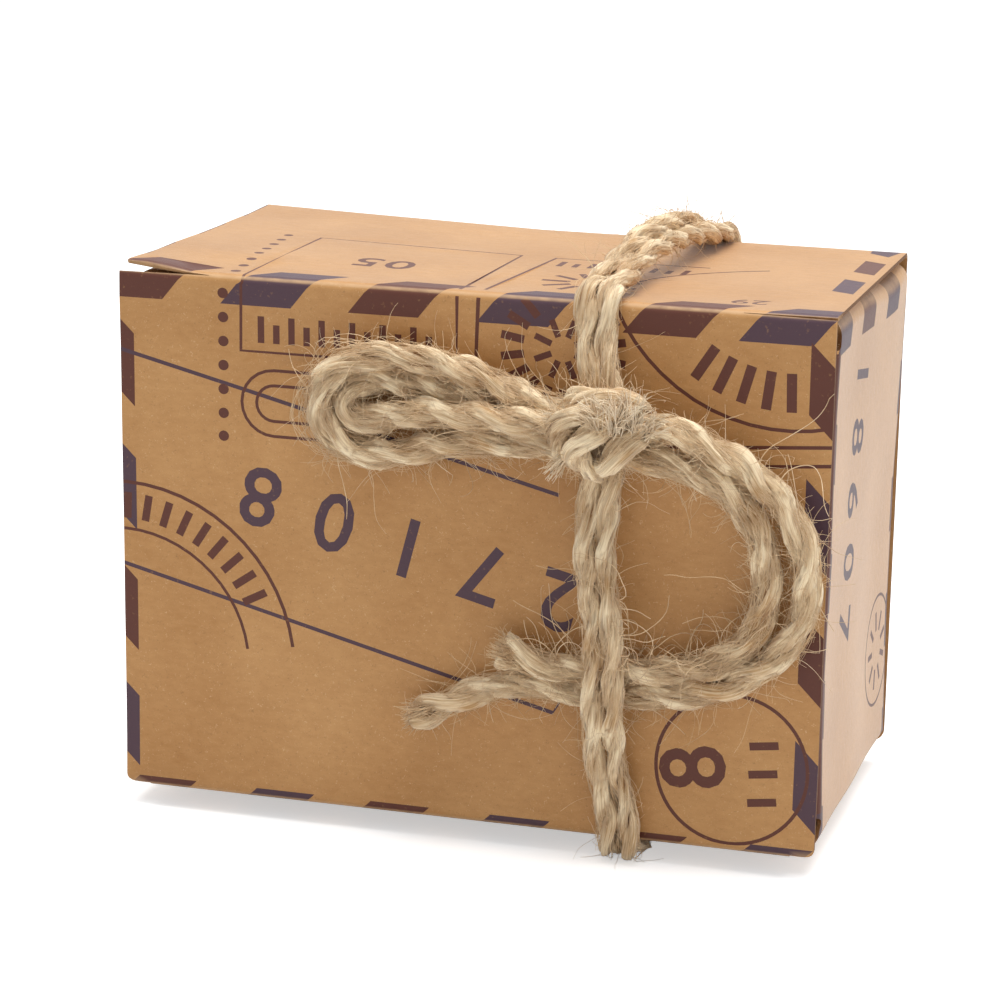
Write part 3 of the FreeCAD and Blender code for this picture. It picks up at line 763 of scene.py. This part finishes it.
def loose_fibre(name, dark, pale):
    """Single bast fibres that have worked out of the twine: fine, dry and slightly silky."""
    made = bpy.data.materials.new(name)
    made.use_nodes = True
    shader = made.node_tree.nodes["Principled BSDF"]
    place = node(made, "TexCoord").outputs["Object"]
    # each fibre is a little paler or darker than the next, about 2 mm apart
    tone = node(made, "TexNoise", {"Vector": place, "Scale": 1 / 0.002, "Detail": 1.0})
    body = node(made, "Mix", {"Factor": tone.outputs["Fac"], 6: linear(dark),
                              7: linear(pale)}, data_type="RGBA")
    fill(made, shader, {"Base Color": body.outputs[2], "Roughness": 0.65,
                        "Sheen Weight": 0.3})
    return made


jute_twine = jute("jute_twine_two_ply")
jute_fibre = loose_fibre("jute_loose_fibre", "#B88A55", "#FBE2B8")
# painted light: a paler copy of the loose fibre, used on the knot's tuft and raised bundles to offset the shade among
# their dense fibres
painted_light_fibre = loose_fibre("jute_fibre_painted_light", "#D6B384", "#FFF3DA")


def spline_line(points):
    """The smooth line that the control points guide, as points in metres."""
    curve = bpy.data.curves.new("route", "CURVE")
    curve.dimensions = "3D"
    spline = curve.splines.new("NURBS")
    spline.points.add(len(points) - 1)
    for point, place in zip(spline.points, points):
        point.co = (*place, 1)
    spline.order_u = 3
    spline.use_endpoint_u = True
    spline.resolution_u = 24
    mesh = mesh_of(curve)
    line = [v.co.copy() for v in mesh.vertices]
    bpy.data.meshes.remove(mesh)
    return line


def frames(line, step):
    """Even steps along the line, each as (distance, place, ahead, side, up)."""
    places, travelled, due = [line[0]], 0.0, step
    for a, b in zip(line, line[1:]):
        gap = (b - a).length
        while gap > 0 and travelled + gap >= due:
            places.append(a.lerp(b, (due - travelled) / gap))
            due += step
        travelled += gap
    made, side = [], None
    for i, place in enumerate(places):
        ahead = (places[min(i + 1, len(places) - 1)] - places[max(i - 1, 0)]).normalized()
        if side is None:
            side = ahead.cross(Vector((0, 0, 1)) if abs(ahead.z) < 0.9 else Vector((0, 1, 0)))
        side = (side - ahead * side.dot(ahead)).normalized()
        made.append((i * step, place, ahead, side, ahead.cross(side)))
    return made


def way_out(side, up, a):
    """The way out from a line at angle a round it."""
    return side * math.cos(a) + up * math.sin(a)


def wall(first, rings, sides):
    """The faces between rings of points, which follow each other from point first."""
    faces = []
    for i in range(rings - 1):
        for k in range(sides):
            a, b = first + i * sides + k, first + i * sides + (k + 1) % sides
            faces.append((a, b, b + sides, a + sides))
    return faces


def lay_twine(name, line, phase=0.0, thick=TWINE, spread=(0.0, 0.0), loose=0.0):
    """Two plies laid round each other along the line. Each is a lumpy bundle of fibres,
    and spread opens the plies out towards the strand's start and end."""
    steps = frames(line, 0.34 * MM)
    total, sides = steps[-1][0], 24
    ply = thick * MM * 0.325         # radius of one ply
    verts, faces, uvs, groove_shades = [], [], [], []
    for which in (0, 1):
        first = len(verts)
        for along, place, ahead, side, up in steps:
            uneven = 0.8 * noise.noise(Vector((along / 0.016, phase, 9)))
            turn = phase + math.pi * which + 2 * math.pi * along / (LAY * MM) + uneven
            lump = noise.noise(Vector((along / 0.0035, which * 7 + phase, 0)))
            slack = 1 + loose * noise.noise(Vector((along / 0.009, 3 + phase, which)))
            start_out = max(0, 1 - along / 0.005) * spread[0]
            end_out = max(0, 1 - (total - along) / 0.005) * spread[1]
            out = way_out(side, up, turn)
            centre = place + out * ply * 0.62 * (slack + start_out + end_out)
            edge = min(1, (along + 0.0002) / 0.0016, (total - along + 0.0002) / 0.0016)
            astray = 0.9 * noise.noise(Vector((along / 0.004, phase + which, 4)))
            size = ply * (1 + 0.2 * lump) * (0.55 + 0.45 * edge ** 0.5)
            for k in range(sides):
                a = 2 * math.pi * k / sides
                aim = way_out(side, up, a)
                b = a + astray
                strand = noise.noise(Vector((math.cos(b) * 1.9 + which * 5,
                                             math.sin(b) * 1.9 + phase, along / 0.0055)))
                fine = noise.noise(Vector((math.cos(b) * 4.6 + which * 5,
                                           math.sin(b) * 4.6 + phase, along / 0.0026)))
                radius = size * (1 + 0.32 * strand + 0.26 * fine)
                verts.append(centre + aim * radius)
                # painted shade: darkest where this ply faces the other ply, and in the dips that the fibre noise cuts
                # into its surface
                inward = max(0, -aim.dot(out))
                groove_shades.append(min(1, 1.3 * inward ** 4 + 1.1 * max(0, -strand - 0.22)
                                   + 1.3 * max(0, -fine - 0.18)))
                uvs.append((along, k / sides))
        faces += wall(first, len(steps), sides)
        last = first + (len(steps) - 1) * sides
        faces += [list(range(first, first + sides))[::-1], list(range(last, last + sides))]
    piece = add_piece(name, verts, faces, [jute_twine], "jute_twine")
    layer = piece.data.uv_layers.new(name="laid")
    for polygon in piece.data.polygons:
        wraps = len(polygon.vertices) == 4 and {uvs[v][1] for v in polygon.vertices} == {
            0.0, (sides - 1) / sides}
        for loop, v in zip(polygon.loop_indices, polygon.vertices):
            along, turned = uvs[v]
            layer.data[loop].uv = (along, 1.0 if wraps and turned == 0 else turned)
    groove_shade = piece.data.attributes.new("groove_shade", "FLOAT", "POINT")
    groove_shade.data.foreach_set("value", groove_shades)
    return piece


def clear_of_card(place):
    """Keep a fibre outside the carton and above the table."""
    inside = [place.x / MM + HALF, HALF - place.x / MM, place.y / MM - FRONT + 0.15,
              BACK + 0.15 - place.y / MM, place.z / MM - FOOT, TOP + 0.15 - place.z / MM]
    if min(inside) > 0:
        nearest = inside.index(min(inside))
        axis, sign = nearest // 2, 1 if nearest % 2 else -1
        place[axis] += sign * min(inside) * MM
    place.z = max(place.z, 0.0001)
    return place


def curled(place, aim, length, curl, dice):
    """The line of a loose fibre, which winds as it goes."""
    count = max(4, int(length / 0.0006))
    aim, line = aim.normalized(), [place]
    bias = Vector([dice.uniform(-1, 1) for _ in range(3)]) * curl
    for _ in range(count):
        bias += Vector([dice.uniform(-1, 1) for _ in range(3)]) * curl * 0.55
        bias *= 0.9
        aim = (aim + bias * 0.34).normalized()
        line.append(clear_of_card(line[-1] + aim * length / count))
    return line


def hairs(name, lines, root_radius=0.036, finish=jute_fibre):
    """Loose fibres as one piece, each a fine thread that tapers from its root."""
    verts, faces = [], []
    for line in lines:
        first, count = len(verts), len(line) - 1
        for i, place in enumerate(line):
            aim = (line[min(i + 1, count)] - line[max(i - 1, 0)]).normalized()
            side = aim.cross(Vector((0.31, 0.57, 0.76))).normalized()
            up = aim.cross(side)
            radius = root_radius * MM * (1.0 - 0.5 * i / count)
            verts += [place + way_out(side, up, 2 * math.pi * k / 3) * radius for k in range(3)]
        faces += wall(first, len(line), 3)
    return add_piece(name, verts, faces, [finish], "jute_twine")


def stray_fibres(line, count, seed, long=0.005, curl=0.9, thick=TWINE):
    """Fibres that stand off a strand, most of them short and leaning along it."""
    dice = random.Random(seed)
    steps = frames(line, 0.5 * MM)
    made = []
    for _ in range(count):
        _, place, ahead, side, up = dice.choice(steps)
        a = dice.uniform(0, 2 * math.pi)
        out = way_out(side, up, a)
        lean = dice.choice((-1, 1)) * dice.uniform(0.3, 2.6)
        length = min(0.011, long * (0.25 + dice.expovariate(2.0)))
        made.append(curled(place + out * thick * 0.45 * MM, out + ahead * lean, length,
                           curl * dice.choice((0.5, 1.0, 1.6, 2.2)), dice))
    return made


def clinging_fibres(line, count, seed, rise=0.5, thick=TWINE):
    """Fibres that follow the twist on the strand's surface, and lift off at one end."""
    dice = random.Random(seed)
    steps = frames(line, 0.6 * MM)
    made = []
    for _ in range(count):
        span = dice.randint(5, 16)
        start, way = dice.randrange(len(steps)), dice.choice((-1, 1))
        a, lift = dice.uniform(0, 2 * math.pi), rise * dice.random() ** 2
        lay = dice.uniform(-0.2, 0.5) * way
        fibre = []
        for i in range(span):
            at = start + way * i
            if not 0 <= at < len(steps):
                break
            _, place, ahead, side, up = steps[at]
            a += lay * 0.3 + dice.uniform(-0.12, 0.12)
            off = thick / 2 * MM * (0.93 + lift * (i / span) ** 2)
            fibre.append(clear_of_card(place + way_out(side, up, a) * off))
        if len(fibre) > 3:
            made.append(fibre)
    return made


def slack_fibres(line, middle, count, seed, rise):
    """Fibres that have pulled loose on the outside of a bend and stand off as longer bows."""
    dice = random.Random(seed)
    noise.seed_set(seed)             # without it noise_vector differs from run to run
    steps = frames(line, 0.6 * MM)
    made = []
    for _ in range(count):
        span = min(len(steps) - 1, dice.randint(9, 24))
        start, lift = dice.randrange(len(steps) - span), rise * dice.uniform(0.1, 1.0)
        lean, drift = dice.uniform(-0.9, 0.5), dice.uniform(-0.5, 0.2)
        fibre = []
        for i in range(span):
            _, place, ahead, side, up = steps[start + i]
            out = (place - middle - ahead * (place - middle).dot(ahead)).normalized()
            out = (out + out.cross(ahead) * (lean + drift * i / span)).normalized()
            off = TWINE / 2 * MM * 0.9 + lift * MM * math.sin(math.pi * i / span) ** 1.5
            sway = noise.noise_vector(place / MM / 2.5 + Vector((seed, lift * 9, 0)))
            fibre.append(clear_of_card(place + out * off + sway * off * 0.45))
        made.append(fibre)
    return made


def band_route(aside):
    """One strand's way round: down from the knot, under, up the back and over the top."""
    out, far = TWINE / 2, 5.0        # off the card, and along it from each edge
    middle = (FRONT + BACK) / 2

    def at_edge(x, y_side, z_side, first_along_z):
        y = (FRONT - out) if y_side < 0 else (BACK + out)
        z = (FOOT - out) if z_side < 0 else (TOP + out)
        along_z, along_y = (x, y, z - z_side * far), (x, y - y_side * far, z)
        return [along_z, (x, y, z), along_y] if first_along_z else [along_y, (x, y, z), along_z]

    x = [place + aside for place in (17.0, 18.4, 18.0, 17.4, 14.5)]
    route = [(KNOT.x + aside, KNOT.y + 1.2, KNOT.z - 2.35),
             (KNOT.x - 1.3 + aside * 0.8, KNOT.y + 0.4 + aside * 0.4, KNOT.z - 12.0),
             (x[0] + 0.1, KNOT.y - 0.2 - aside * 0.3, KNOT.z - 22.0),
             (x[0], KNOT.y - 0.2, KNOT.z - 30.5),
             (x[0] - aside * 0.15, FRONT - out - 1.2 + aside * 0.4, FOOT + 8.5)]
    route += at_edge(x[1], -1, -1, True)
    route += at_edge(x[2], 1, -1, False)
    route += [(x[2] - 0.2, BACK + out, 40.0)]
    route += at_edge(x[3], 1, 1, True)
    # stiff with its twist, the pair arches off the top panel and rolls a little
    route += [(x[3] - 0.3 - aside * 0.5, middle + 9.75, TOP + out + 2.4 - aside * 0.6),
              (x[4] + 0.9 - aside * 0.6, middle - 4.25, TOP + out + 3.0 - aside * 0.7)]
    route += at_edge(x[4], -1, 1, False)
    route += [(x[4] + 0.3 - aside * 0.15, FRONT - out - 1.4, KNOT.z + 8.0),
              (KNOT.x + aside * 0.8, KNOT.y + 1.4, KNOT.z + 2.35)]
    return [Vector(p) * MM for p in route]


for name, aside, phase, seed in (("left", -PITCH / 2, 0.4, 11), ("right", PITCH / 2, 2.3, 12)):
    line = spline_line(band_route(aside))
    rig.replaces(lay_twine("band_" + name, line, phase), "band_strand_" + name)
    hairs("band_fibres_" + name,
          stray_fibres(line, 760, seed, 0.0035) + clinging_fibres(line, 1100, seed + 2))

# ---------------------------------------------------------------------------------------
# Knot. The two strands are crossed and pulled down in a half bow: four passes of the same
# twine wrapped over a tight middle, with its fibres burst open into a tuft on top.
PASSES = [
    [(-1.4, 2.4, -3.4), (-4.6, 0.2, -2.6), (-4.9, -2.2, 0.2), (-2.6, -3.3, 2.6),
     (0.8, -2.2, 4.0), (2.2, 1.2, 3.2)],
    [(0.6, 2.2, -4.0), (-1.8, -1.0, -3.9), (-2.6, -3.6, -1.5), (-0.4, -4.1, 0.9),
     (2.6, -3.0, 2.7), (4.0, 0.4, 2.0)],
    [(-0.2, 1.0, -2.6), (1.0, -2.4, -3.3), (2.3, -3.7, -1.2), (4.0, -2.9, 0.6),
     (5.2, 0.2, 0.4), (3.4, 2.2, -0.6)],
    [(-4.8, 1.6, 0.8), (-4.0, -0.6, 2.9), (-1.0, -1.2, 3.9), (2.0, -1.0, 3.7),
     (4.4, 0.8, 2.2)],
]


def from_knot(route):
    """Places given from the middle of the knot, in metres."""
    return [(KNOT + Vector(p)) * MM for p in route]


for i, route in enumerate(PASSES):
    line = spline_line(from_knot(route))
    wrap = lay_twine("knot_pass_%d" % (i + 1), line, 0.9 * i, 2.9, loose=0.3)
    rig.replaces(wrap, "knot")
    hairs("knot_fibres_%d" % (i + 1), stray_fibres(line, 170, 40 + i, 0.003)
          + clinging_fibres(line, 170, 50 + i))


def lumpy_core(name, half_sizes):
    """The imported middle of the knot, between its passes."""
    sides, rings = 28, 18
    verts, faces = [], []
    for j in range(rings + 1):
        tilt = math.pi * j / rings
        for k in range(sides):
            a = 2 * math.pi * k / sides
            aim = Vector((math.sin(tilt) * math.cos(a), math.sin(tilt) * math.sin(a),
                          math.cos(tilt)))
            lump = 1 + 0.14 * noise.noise(aim * 2.6)
            verts.append((KNOT + Vector(aim[i] * half_sizes[i] for i in range(3)) * lump) * MM)
    for j in range(rings):
        for k in range(sides):
            a, b = j * sides + k, j * sides + (k + 1) % sides
            faces.append((a, a + sides, b + sides, b))
    piece = add_piece(name, verts, faces, [jute_twine], "jute_twine")
    piece.data.uv_layers.new(name="laid")
    # painted shade: the whole core is darkened, as it lies deep between the passes
    groove_shade = piece.data.attributes.new("groove_shade", "FLOAT", "POINT")
    groove_shade.data.foreach_set("value", [0.75] * len(verts))
    return piece


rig.replaces(lumpy_core("knot_core", (4.0, 2.6, 3.6)), "knot")


def scatter(dice, spread):
    """A random step, spread alike to all sides."""
    return Vector([dice.gauss(0, spread) for _ in range(3)])


# tufts of short fibre burst out of it: each one's root, aim, length and number of fibres
TUFTS = [
    ((0.4, -4.2, 1.2), (-0.3, -0.3, 1.0), 4.2, 44),
    ((2.2, -4.2, 1.4), (0.1, -0.3, 1.0), 5.0, 50),
    ((3.8, -3.6, 1.4), (0.35, -0.4, 1.0), 4.6, 44),
    ((5.2, -2.6, 0.8), (0.8, -0.5, 0.9), 3.6, 34),
    ((-3.4, -2.6, -2.2), (-0.8, -0.6, -0.8), 3.0, 45),
    ((-4.4, -2.0, 1.4), (-0.6, -0.7, 0.8), 2.6, 40),
]
tuft, clumps = random.Random(5), []
for root, aim, reach, count in TUFTS:
    for _ in range(count):
        place = (KNOT + Vector(root) + scatter(tuft, 0.35)) * MM
        way = Vector(aim).normalized() + scatter(tuft, 0.17)
        clumps.append(curled(place, way, reach * MM * tuft.uniform(0.5, 1.1), 0.5, tuft))
hairs("knot_tuft", clumps, 0.075, painted_light_fibre)
# bundles of fibre drawn out of the plies stand up from it: root, lean and height of each
BUNDLES = [
    ((1.6, -3.9, 2.0), -0.7, 3.6),
    ((2.9, -3.9, 2.2), 0.1, 4.4),
    ((4.2, -3.4, 2.0), 0.7, 3.8),
    ((5.2, -2.8, 1.0), 1.5, 3.0),
    ((0.2, -4.2, 1.4), -1.3, 3.0),
]
stand, raised = random.Random(8), []
for root, lean, height in BUNDLES:
    for _ in range(30):
        foot = KNOT + Vector(root) + scatter(stand, 0.28)
        tall, over = height * stand.uniform(0.7, 1.1), stand.uniform(0.3, 1.0)
        bend = Vector((lean + stand.gauss(0, 0.15), -0.5 + stand.gauss(0, 0.15), 0))
        raised.append([(foot + bend * tall * 0.5 * t * t
                        + Vector((0, 0, tall)) * (t - over * 0.5 * t ** 3)) * MM
                       for t in (i / 7 for i in range(8))])
hairs("knot_raised_fibres", raised, 0.09, painted_light_fibre)

# ---------------------------------------------------------------------------------------
# Bow. Both strands are drawn back through the knot as one loop to the left. They are limp,
# and stand up only as far as the twist carries them.
BOW_OUTER = [
    (-2.0, 0.7, 1.7), (-7.9, 1.5, 2.2), (-11.8, 1.7, 3.8), (-17.7, 1.9, 5.7),
    (-24.1, 1.9, 6.4), (-29.3, 1.6, 5.6), (-32.5, 1.5, 2.4), (-32.3, 1.6, -1.8),
    (-29.0, 1.8, -4.8), (-23.6, 1.7, -4.6), (-18.0, 1.3, -2.8), (-12.4, 0.8, -1.9),
    (-7.1, 0.2, -1.8), (-1.9, -0.6, -1.5),
]
BOW_INNER = [
    (-2.4, 2.0, -0.2), (-8.1, 2.9, -0.6), (-12.1, 2.95, 1.2), (-18.0, 3.0, 2.5),
    (-23.9, 3.0, 3.3), (-27.2, 3.0, 3.4), (-29.4, 2.8, 2.4), (-29.7, 2.5, 0.0),
    (-27.6, 2.1, -1.2), (-23.2, 1.7, 0.0), (-18.0, 0.8, 0.6), (-11.2, -0.1, 0.6),
    (-6.2, -1.0, 0.8), (-1.7, -1.6, 1.0),
]


LOOSE_TWINE = 3.1                # thickness where no pull draws the plies together


def free_strand(name, route, phase, hair_count, seed, spread=(0, 0)):
    """A strand that hangs free of the carton, looser and hairier than the band. Gives its
    line, the strand, and a list that starts with its fibres."""
    line = spline_line(from_knot(route))
    strand = lay_twine(name + "_twine", line, phase, LOOSE_TWINE, spread=spread, loose=0.2)
    fibres = hairs(name + "_fibres",
                   stray_fibres(line, 3 * hair_count, seed, 0.004, thick=LOOSE_TWINE)
                   + clinging_fibres(line, 4 * hair_count, seed + 5, 0.6, LOOSE_TWINE))
    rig.replaces(strand, name)
    return line, strand, [fibres]


for name, route, length, phase, seed in (("bow_loop_outer", BOW_OUTER, 0.068, 1.1, 21),
                                         ("bow_loop_inner", BOW_INNER, 0.058, 0.2, 22)):
    line, strand, pieces = free_strand(name, route, phase, 200, seed)
    tip = line[int(len(line) * 0.30):int(len(line) * 0.72)]
    middle = sum(tip, Vector()) / len(tip)
    pieces.append(hairs(name + "_frayed_tip", slack_fibres(tip, middle, 30, seed + 9, 2.4)
                        + clinging_fibres(tip, 60, seed + 9, 0.9)
                        + stray_fibres(tip, 14, seed + 10, 0.008, 0.8), 0.045))
    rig.cord(strand, exit=line[0], length=length, diameter=TWINE * MM, far_end="object",
            stiffness="limp", lay="loose", with_pieces=pieces, path=line)

# ---------------------------------------------------------------------------------------
# Tails. The cut ends of both strands swing round to the right, pass back between the band
# and the front panel, and finish as frayed brushes.
TAIL_LONG = [
    (1.0, -0.6, 0.6), (6.5, -0.4, 1.6), (10.3, 0.2, -0.2), (14.9, 0.8, -2.4),
    (18.9, 1.2, -5.8), (21.7, 1.4, -9.9), (22.4, 1.6, -14.9), (21.6, 1.9, -20.2),
    (18.4, 2.2, -24.3), (13.3, 2.6, -27.6), (7.5, 3.0, -29.1), (1.2, 3.05, -29.6),
    (-4.3, 3.05, -29.5), (-10.2, 2.9, -29.3), (-14.3, 2.7, -30.6), (-21.5, 2.2, -34.3),
]
TAIL_SHORT = [
    (0.8, 0.4, -2.0), (6.5, 0.4, -2.6), (10.4, 0.6, -3.7), (14.6, 0.8, -6.0),
    (17.2, 1.0, -9.7), (18.0, 1.2, -14.1), (17.7, 1.5, -18.7), (15.6, 1.9, -22.6),
    (11.4, 2.4, -25.5), (6.2, 2.9, -26.6), (1.2, 3.05, -26.9), (-3.6, 2.3, -26.9),
    (-6.7, 2.0, -27.0), (-11.4, 1.6, -25.2),
]


def brush(name, line, count, reach, seed):
    """The untwisted end: fibres that go on from the strand and splay a little."""
    dice = random.Random(seed)
    ahead = (line[-1] - line[-8]).normalized()
    side = ahead.cross(Vector((0, 1, 0))).normalized()
    fibres = []
    for _ in range(count):
        a, out = dice.uniform(0, 2 * math.pi), math.sqrt(dice.random()) * TWINE / 2 * MM
        off = way_out(side, ahead.cross(side), a) * out
        fibres.append(curled(line[-1] - ahead * dice.uniform(0.0015, 0.004) + off,
                             ahead + off * 150 * dice.uniform(0.2, 1.3),
                             0.0020 + reach * dice.random(), 0.35, dice))
    return hairs(name, fibres, 0.06)


for name, route, length, phase, seed in (("tail_long", TAIL_LONG, 0.083, 0.7, 31),
                                         ("tail_short", TAIL_SHORT, 0.061, 2.0, 32)):
    line, strand, pieces = free_strand(name, route, phase, 260, seed, spread=(0, 0.9))
    if name == "tail_short":
        dice, wisps = random.Random(77), []
        for reach, count, way, curl in (((-1.5, 15.0), 34, (0.1, -0.1, 1.0), 1.3),
                                        ((-7.0, -2.5), 12, (-0.2, -0.3, 1.0), 0.5)):
            roots = [p for p in line if reach[0] < p.x / MM - KNOT.x < reach[1]
                     and p.z / MM < KNOT.z - 15]
            for _ in range(count):
                aim = Vector((way[0] + dice.gauss(0, 0.6), way[1] + dice.gauss(0, 0.12), way[2]))
                wisps.append(curled(dice.choice(roots) + Vector((0, -0.0006, 0.0006)), aim,
                                    dice.uniform(0.004, 0.012), curl, dice))
        for _ in range(16):
            root = (KNOT + Vector((2.4, -0.8, dice.uniform(-27, -15)))) * MM
            aim = Vector((1.0, -0.1 + dice.gauss(0, 0.1), dice.gauss(0.1, 0.5)))
            wisps.append(curled(root, aim, dice.uniform(0.003, 0.010), 1.3, dice))
        pieces.append(hairs("tail_wisps", wisps, 0.07))
    pieces.append(brush(name + "_brush", line, 240, 0.0014, seed + 20))
    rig.cord(strand, exit=line[0], length=length, diameter=TWINE * MM, far_end="bare",
            stiffness="limp", lay="loose", with_pieces=pieces, path=line)

# a few long fibres have been drawn out of the twine in handling. Each has about where it
# leaves the twine, its aim, and its length
DRAWN_OUT = [
    ((-3.0, -2.2, -6.5), (-0.85, -0.1, -0.55), 9.0), ((-24.0, -0.2, -6.2), (-0.7, -0.3, -0.6), 8.0),
    ((-31.0, 0.6, -4.8), (-0.3, -0.2, -1.0), 10.0), ((-33.5, 0.4, 0.5), (-0.8, -0.2, 0.9), 7.0),
    ((-20.0, 0.0, -5.6), (0.75, -0.3, -0.6), 8.5), ((-28.0, 0.2, -6.0), (-1.0, -0.3, -0.2), 8.0),
    ((17.6, -1.0, -2.6), (-0.15, -0.2, 1.0), 13.0), ((19.6, -0.6, -5.0), (-0.1, -0.2, 1.0), 16.0),
    ((21.8, -0.4, -9.0), (0.1, -0.2, 1.0), 9.0), ((3.4, -1.6, -3.6), (0.8, -0.2, -0.7), 9.5),
    ((2.2, -3.4, 8.0), (0.9, -0.4, 0.5), 12.0), ((-2.4, -3.4, 6.0), (-0.9, -0.4, 0.3), 8.0),
    ((3.6, -1.4, -33.0), (0.7, -0.2, -0.5), 7.0), ((-12.5, 0.0, -31.6), (0.15, -0.3, -1.0), 4.0),
    ((22.6, -0.2, -16.0), (0.9, -0.3, -0.5), 5.0), ((20.6, 0.0, -23.0), (0.8, -0.2, 0.1), 5.0),
]
dice, drawn_out = random.Random(91), []
laid = [place for route in (BOW_OUTER, BOW_INNER, TAIL_LONG, TAIL_SHORT)
        for place in spline_line(from_knot(route))]
for root, aim, length in DRAWN_OUT:
    near = min(laid, key=lambda p: (p - (KNOT + Vector(root)) * MM).length)
    drawn_out.append(curled(near, Vector(aim), length * MM, 0.4, dice))
hairs("twine_long_fibres", drawn_out, 0.075)

# ---------------------------------------------------------------------------------------
# Stage. A plain white table, soft light from above and from the right, and the camera. The
# world lights the pack at half strength, and is white to the camera and in reflections.
floor_mesh = bpy.data.meshes.new("floor")
floor_mesh.from_pydata([(-4, -4, 0), (4, -4, 0), (4, 4, 0), (-4, 4, 0)], [], [(0, 1, 2, 3)])
floor = bpy.data.objects.new("floor", floor_mesh)
bpy.context.scene.collection.objects.link(floor)
table = bpy.data.materials.new("white_table")
table.use_nodes = True
shader = table.node_tree.nodes["Principled BSDF"]
seen = node(table, "LightPath").outputs["Is Camera Ray"]
glow = node(table, "Math", {0: seen, 1: 0.50}, operation="MULTIPLY")
fill(table, shader, {"Base Color": (0.86, 0.86, 0.86, 1), "Roughness": 0.9,
                     "Specular IOR Level": 0.0, "Emission Color": (1, 1, 1, 1),
                     "Emission Strength": glow.outputs[0]})
floor_mesh.materials.append(table)
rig.stage(floor)

world = bpy.data.worlds.new("studio")
bpy.context.scene.world = world
world.use_nodes = True
path = node(world, "LightPath")
seen = node(world, "Math", {0: path.outputs["Is Camera Ray"],
                            1: path.outputs["Is Glossy Ray"]}, operation="MAXIMUM")
strength = node(world, "MapRange", {"Value": seen.outputs[0], "To Min": 0.50, "To Max": 1.0})
fill(world, world.node_tree.nodes["Background"],
     {"Color": (1, 1, 1, 1), "Strength": strength.outputs[0]})


def lamp(name, place, size, power):
    """A square soft box that faces the middle of the pack."""
    light = bpy.data.lights.new(name, "AREA")
    light.size, light.energy = size, power
    made = bpy.data.objects.new(name, light)
    made.location = place
    made.rotation_euler = (Vector((0, 0, 0.03)) - Vector(place)).to_track_quat(
        "-Z", "Y").to_euler()
    bpy.context.scene.collection.objects.link(made)


lamp("overhead_soft_box", (0.06, 0.02, 0.80), 0.6, 6.9)
lamp("right_soft_box", (0.75, -0.12, 0.35), 0.5, 0.5)

CAMERA_PLACE = (0.0993, -0.3548, 0.12415)
YAW, TILT_DOWN, ROLL = 15.95, 13.67, 1.13
camera_data = bpy.data.cameras.new("camera")
camera_data.lens = 118.4
camera_data.sensor_width = 36
camera_data.clip_start, camera_data.clip_end = 0.01, 50
camera = bpy.data.objects.new("camera", camera_data)
camera.matrix_world = (Matrix.Translation(CAMERA_PLACE)
                       @ Matrix.Rotation(math.radians(YAW), 4, "Z")
                       @ Matrix.Rotation(math.radians(90 - TILT_DOWN), 4, "X")
                       @ Matrix.Rotation(math.radians(ROLL), 4, "Z"))
bpy.context.scene.collection.objects.link(camera)
bpy.context.scene.camera = camera
bpy.context.scene.view_settings.view_transform = "Standard"

with open("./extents.json", "w") as sizes:
    json.dump({"cad": [list(c) for c in cad_box], "visual": [list(c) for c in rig.bounds()]}, sizes)
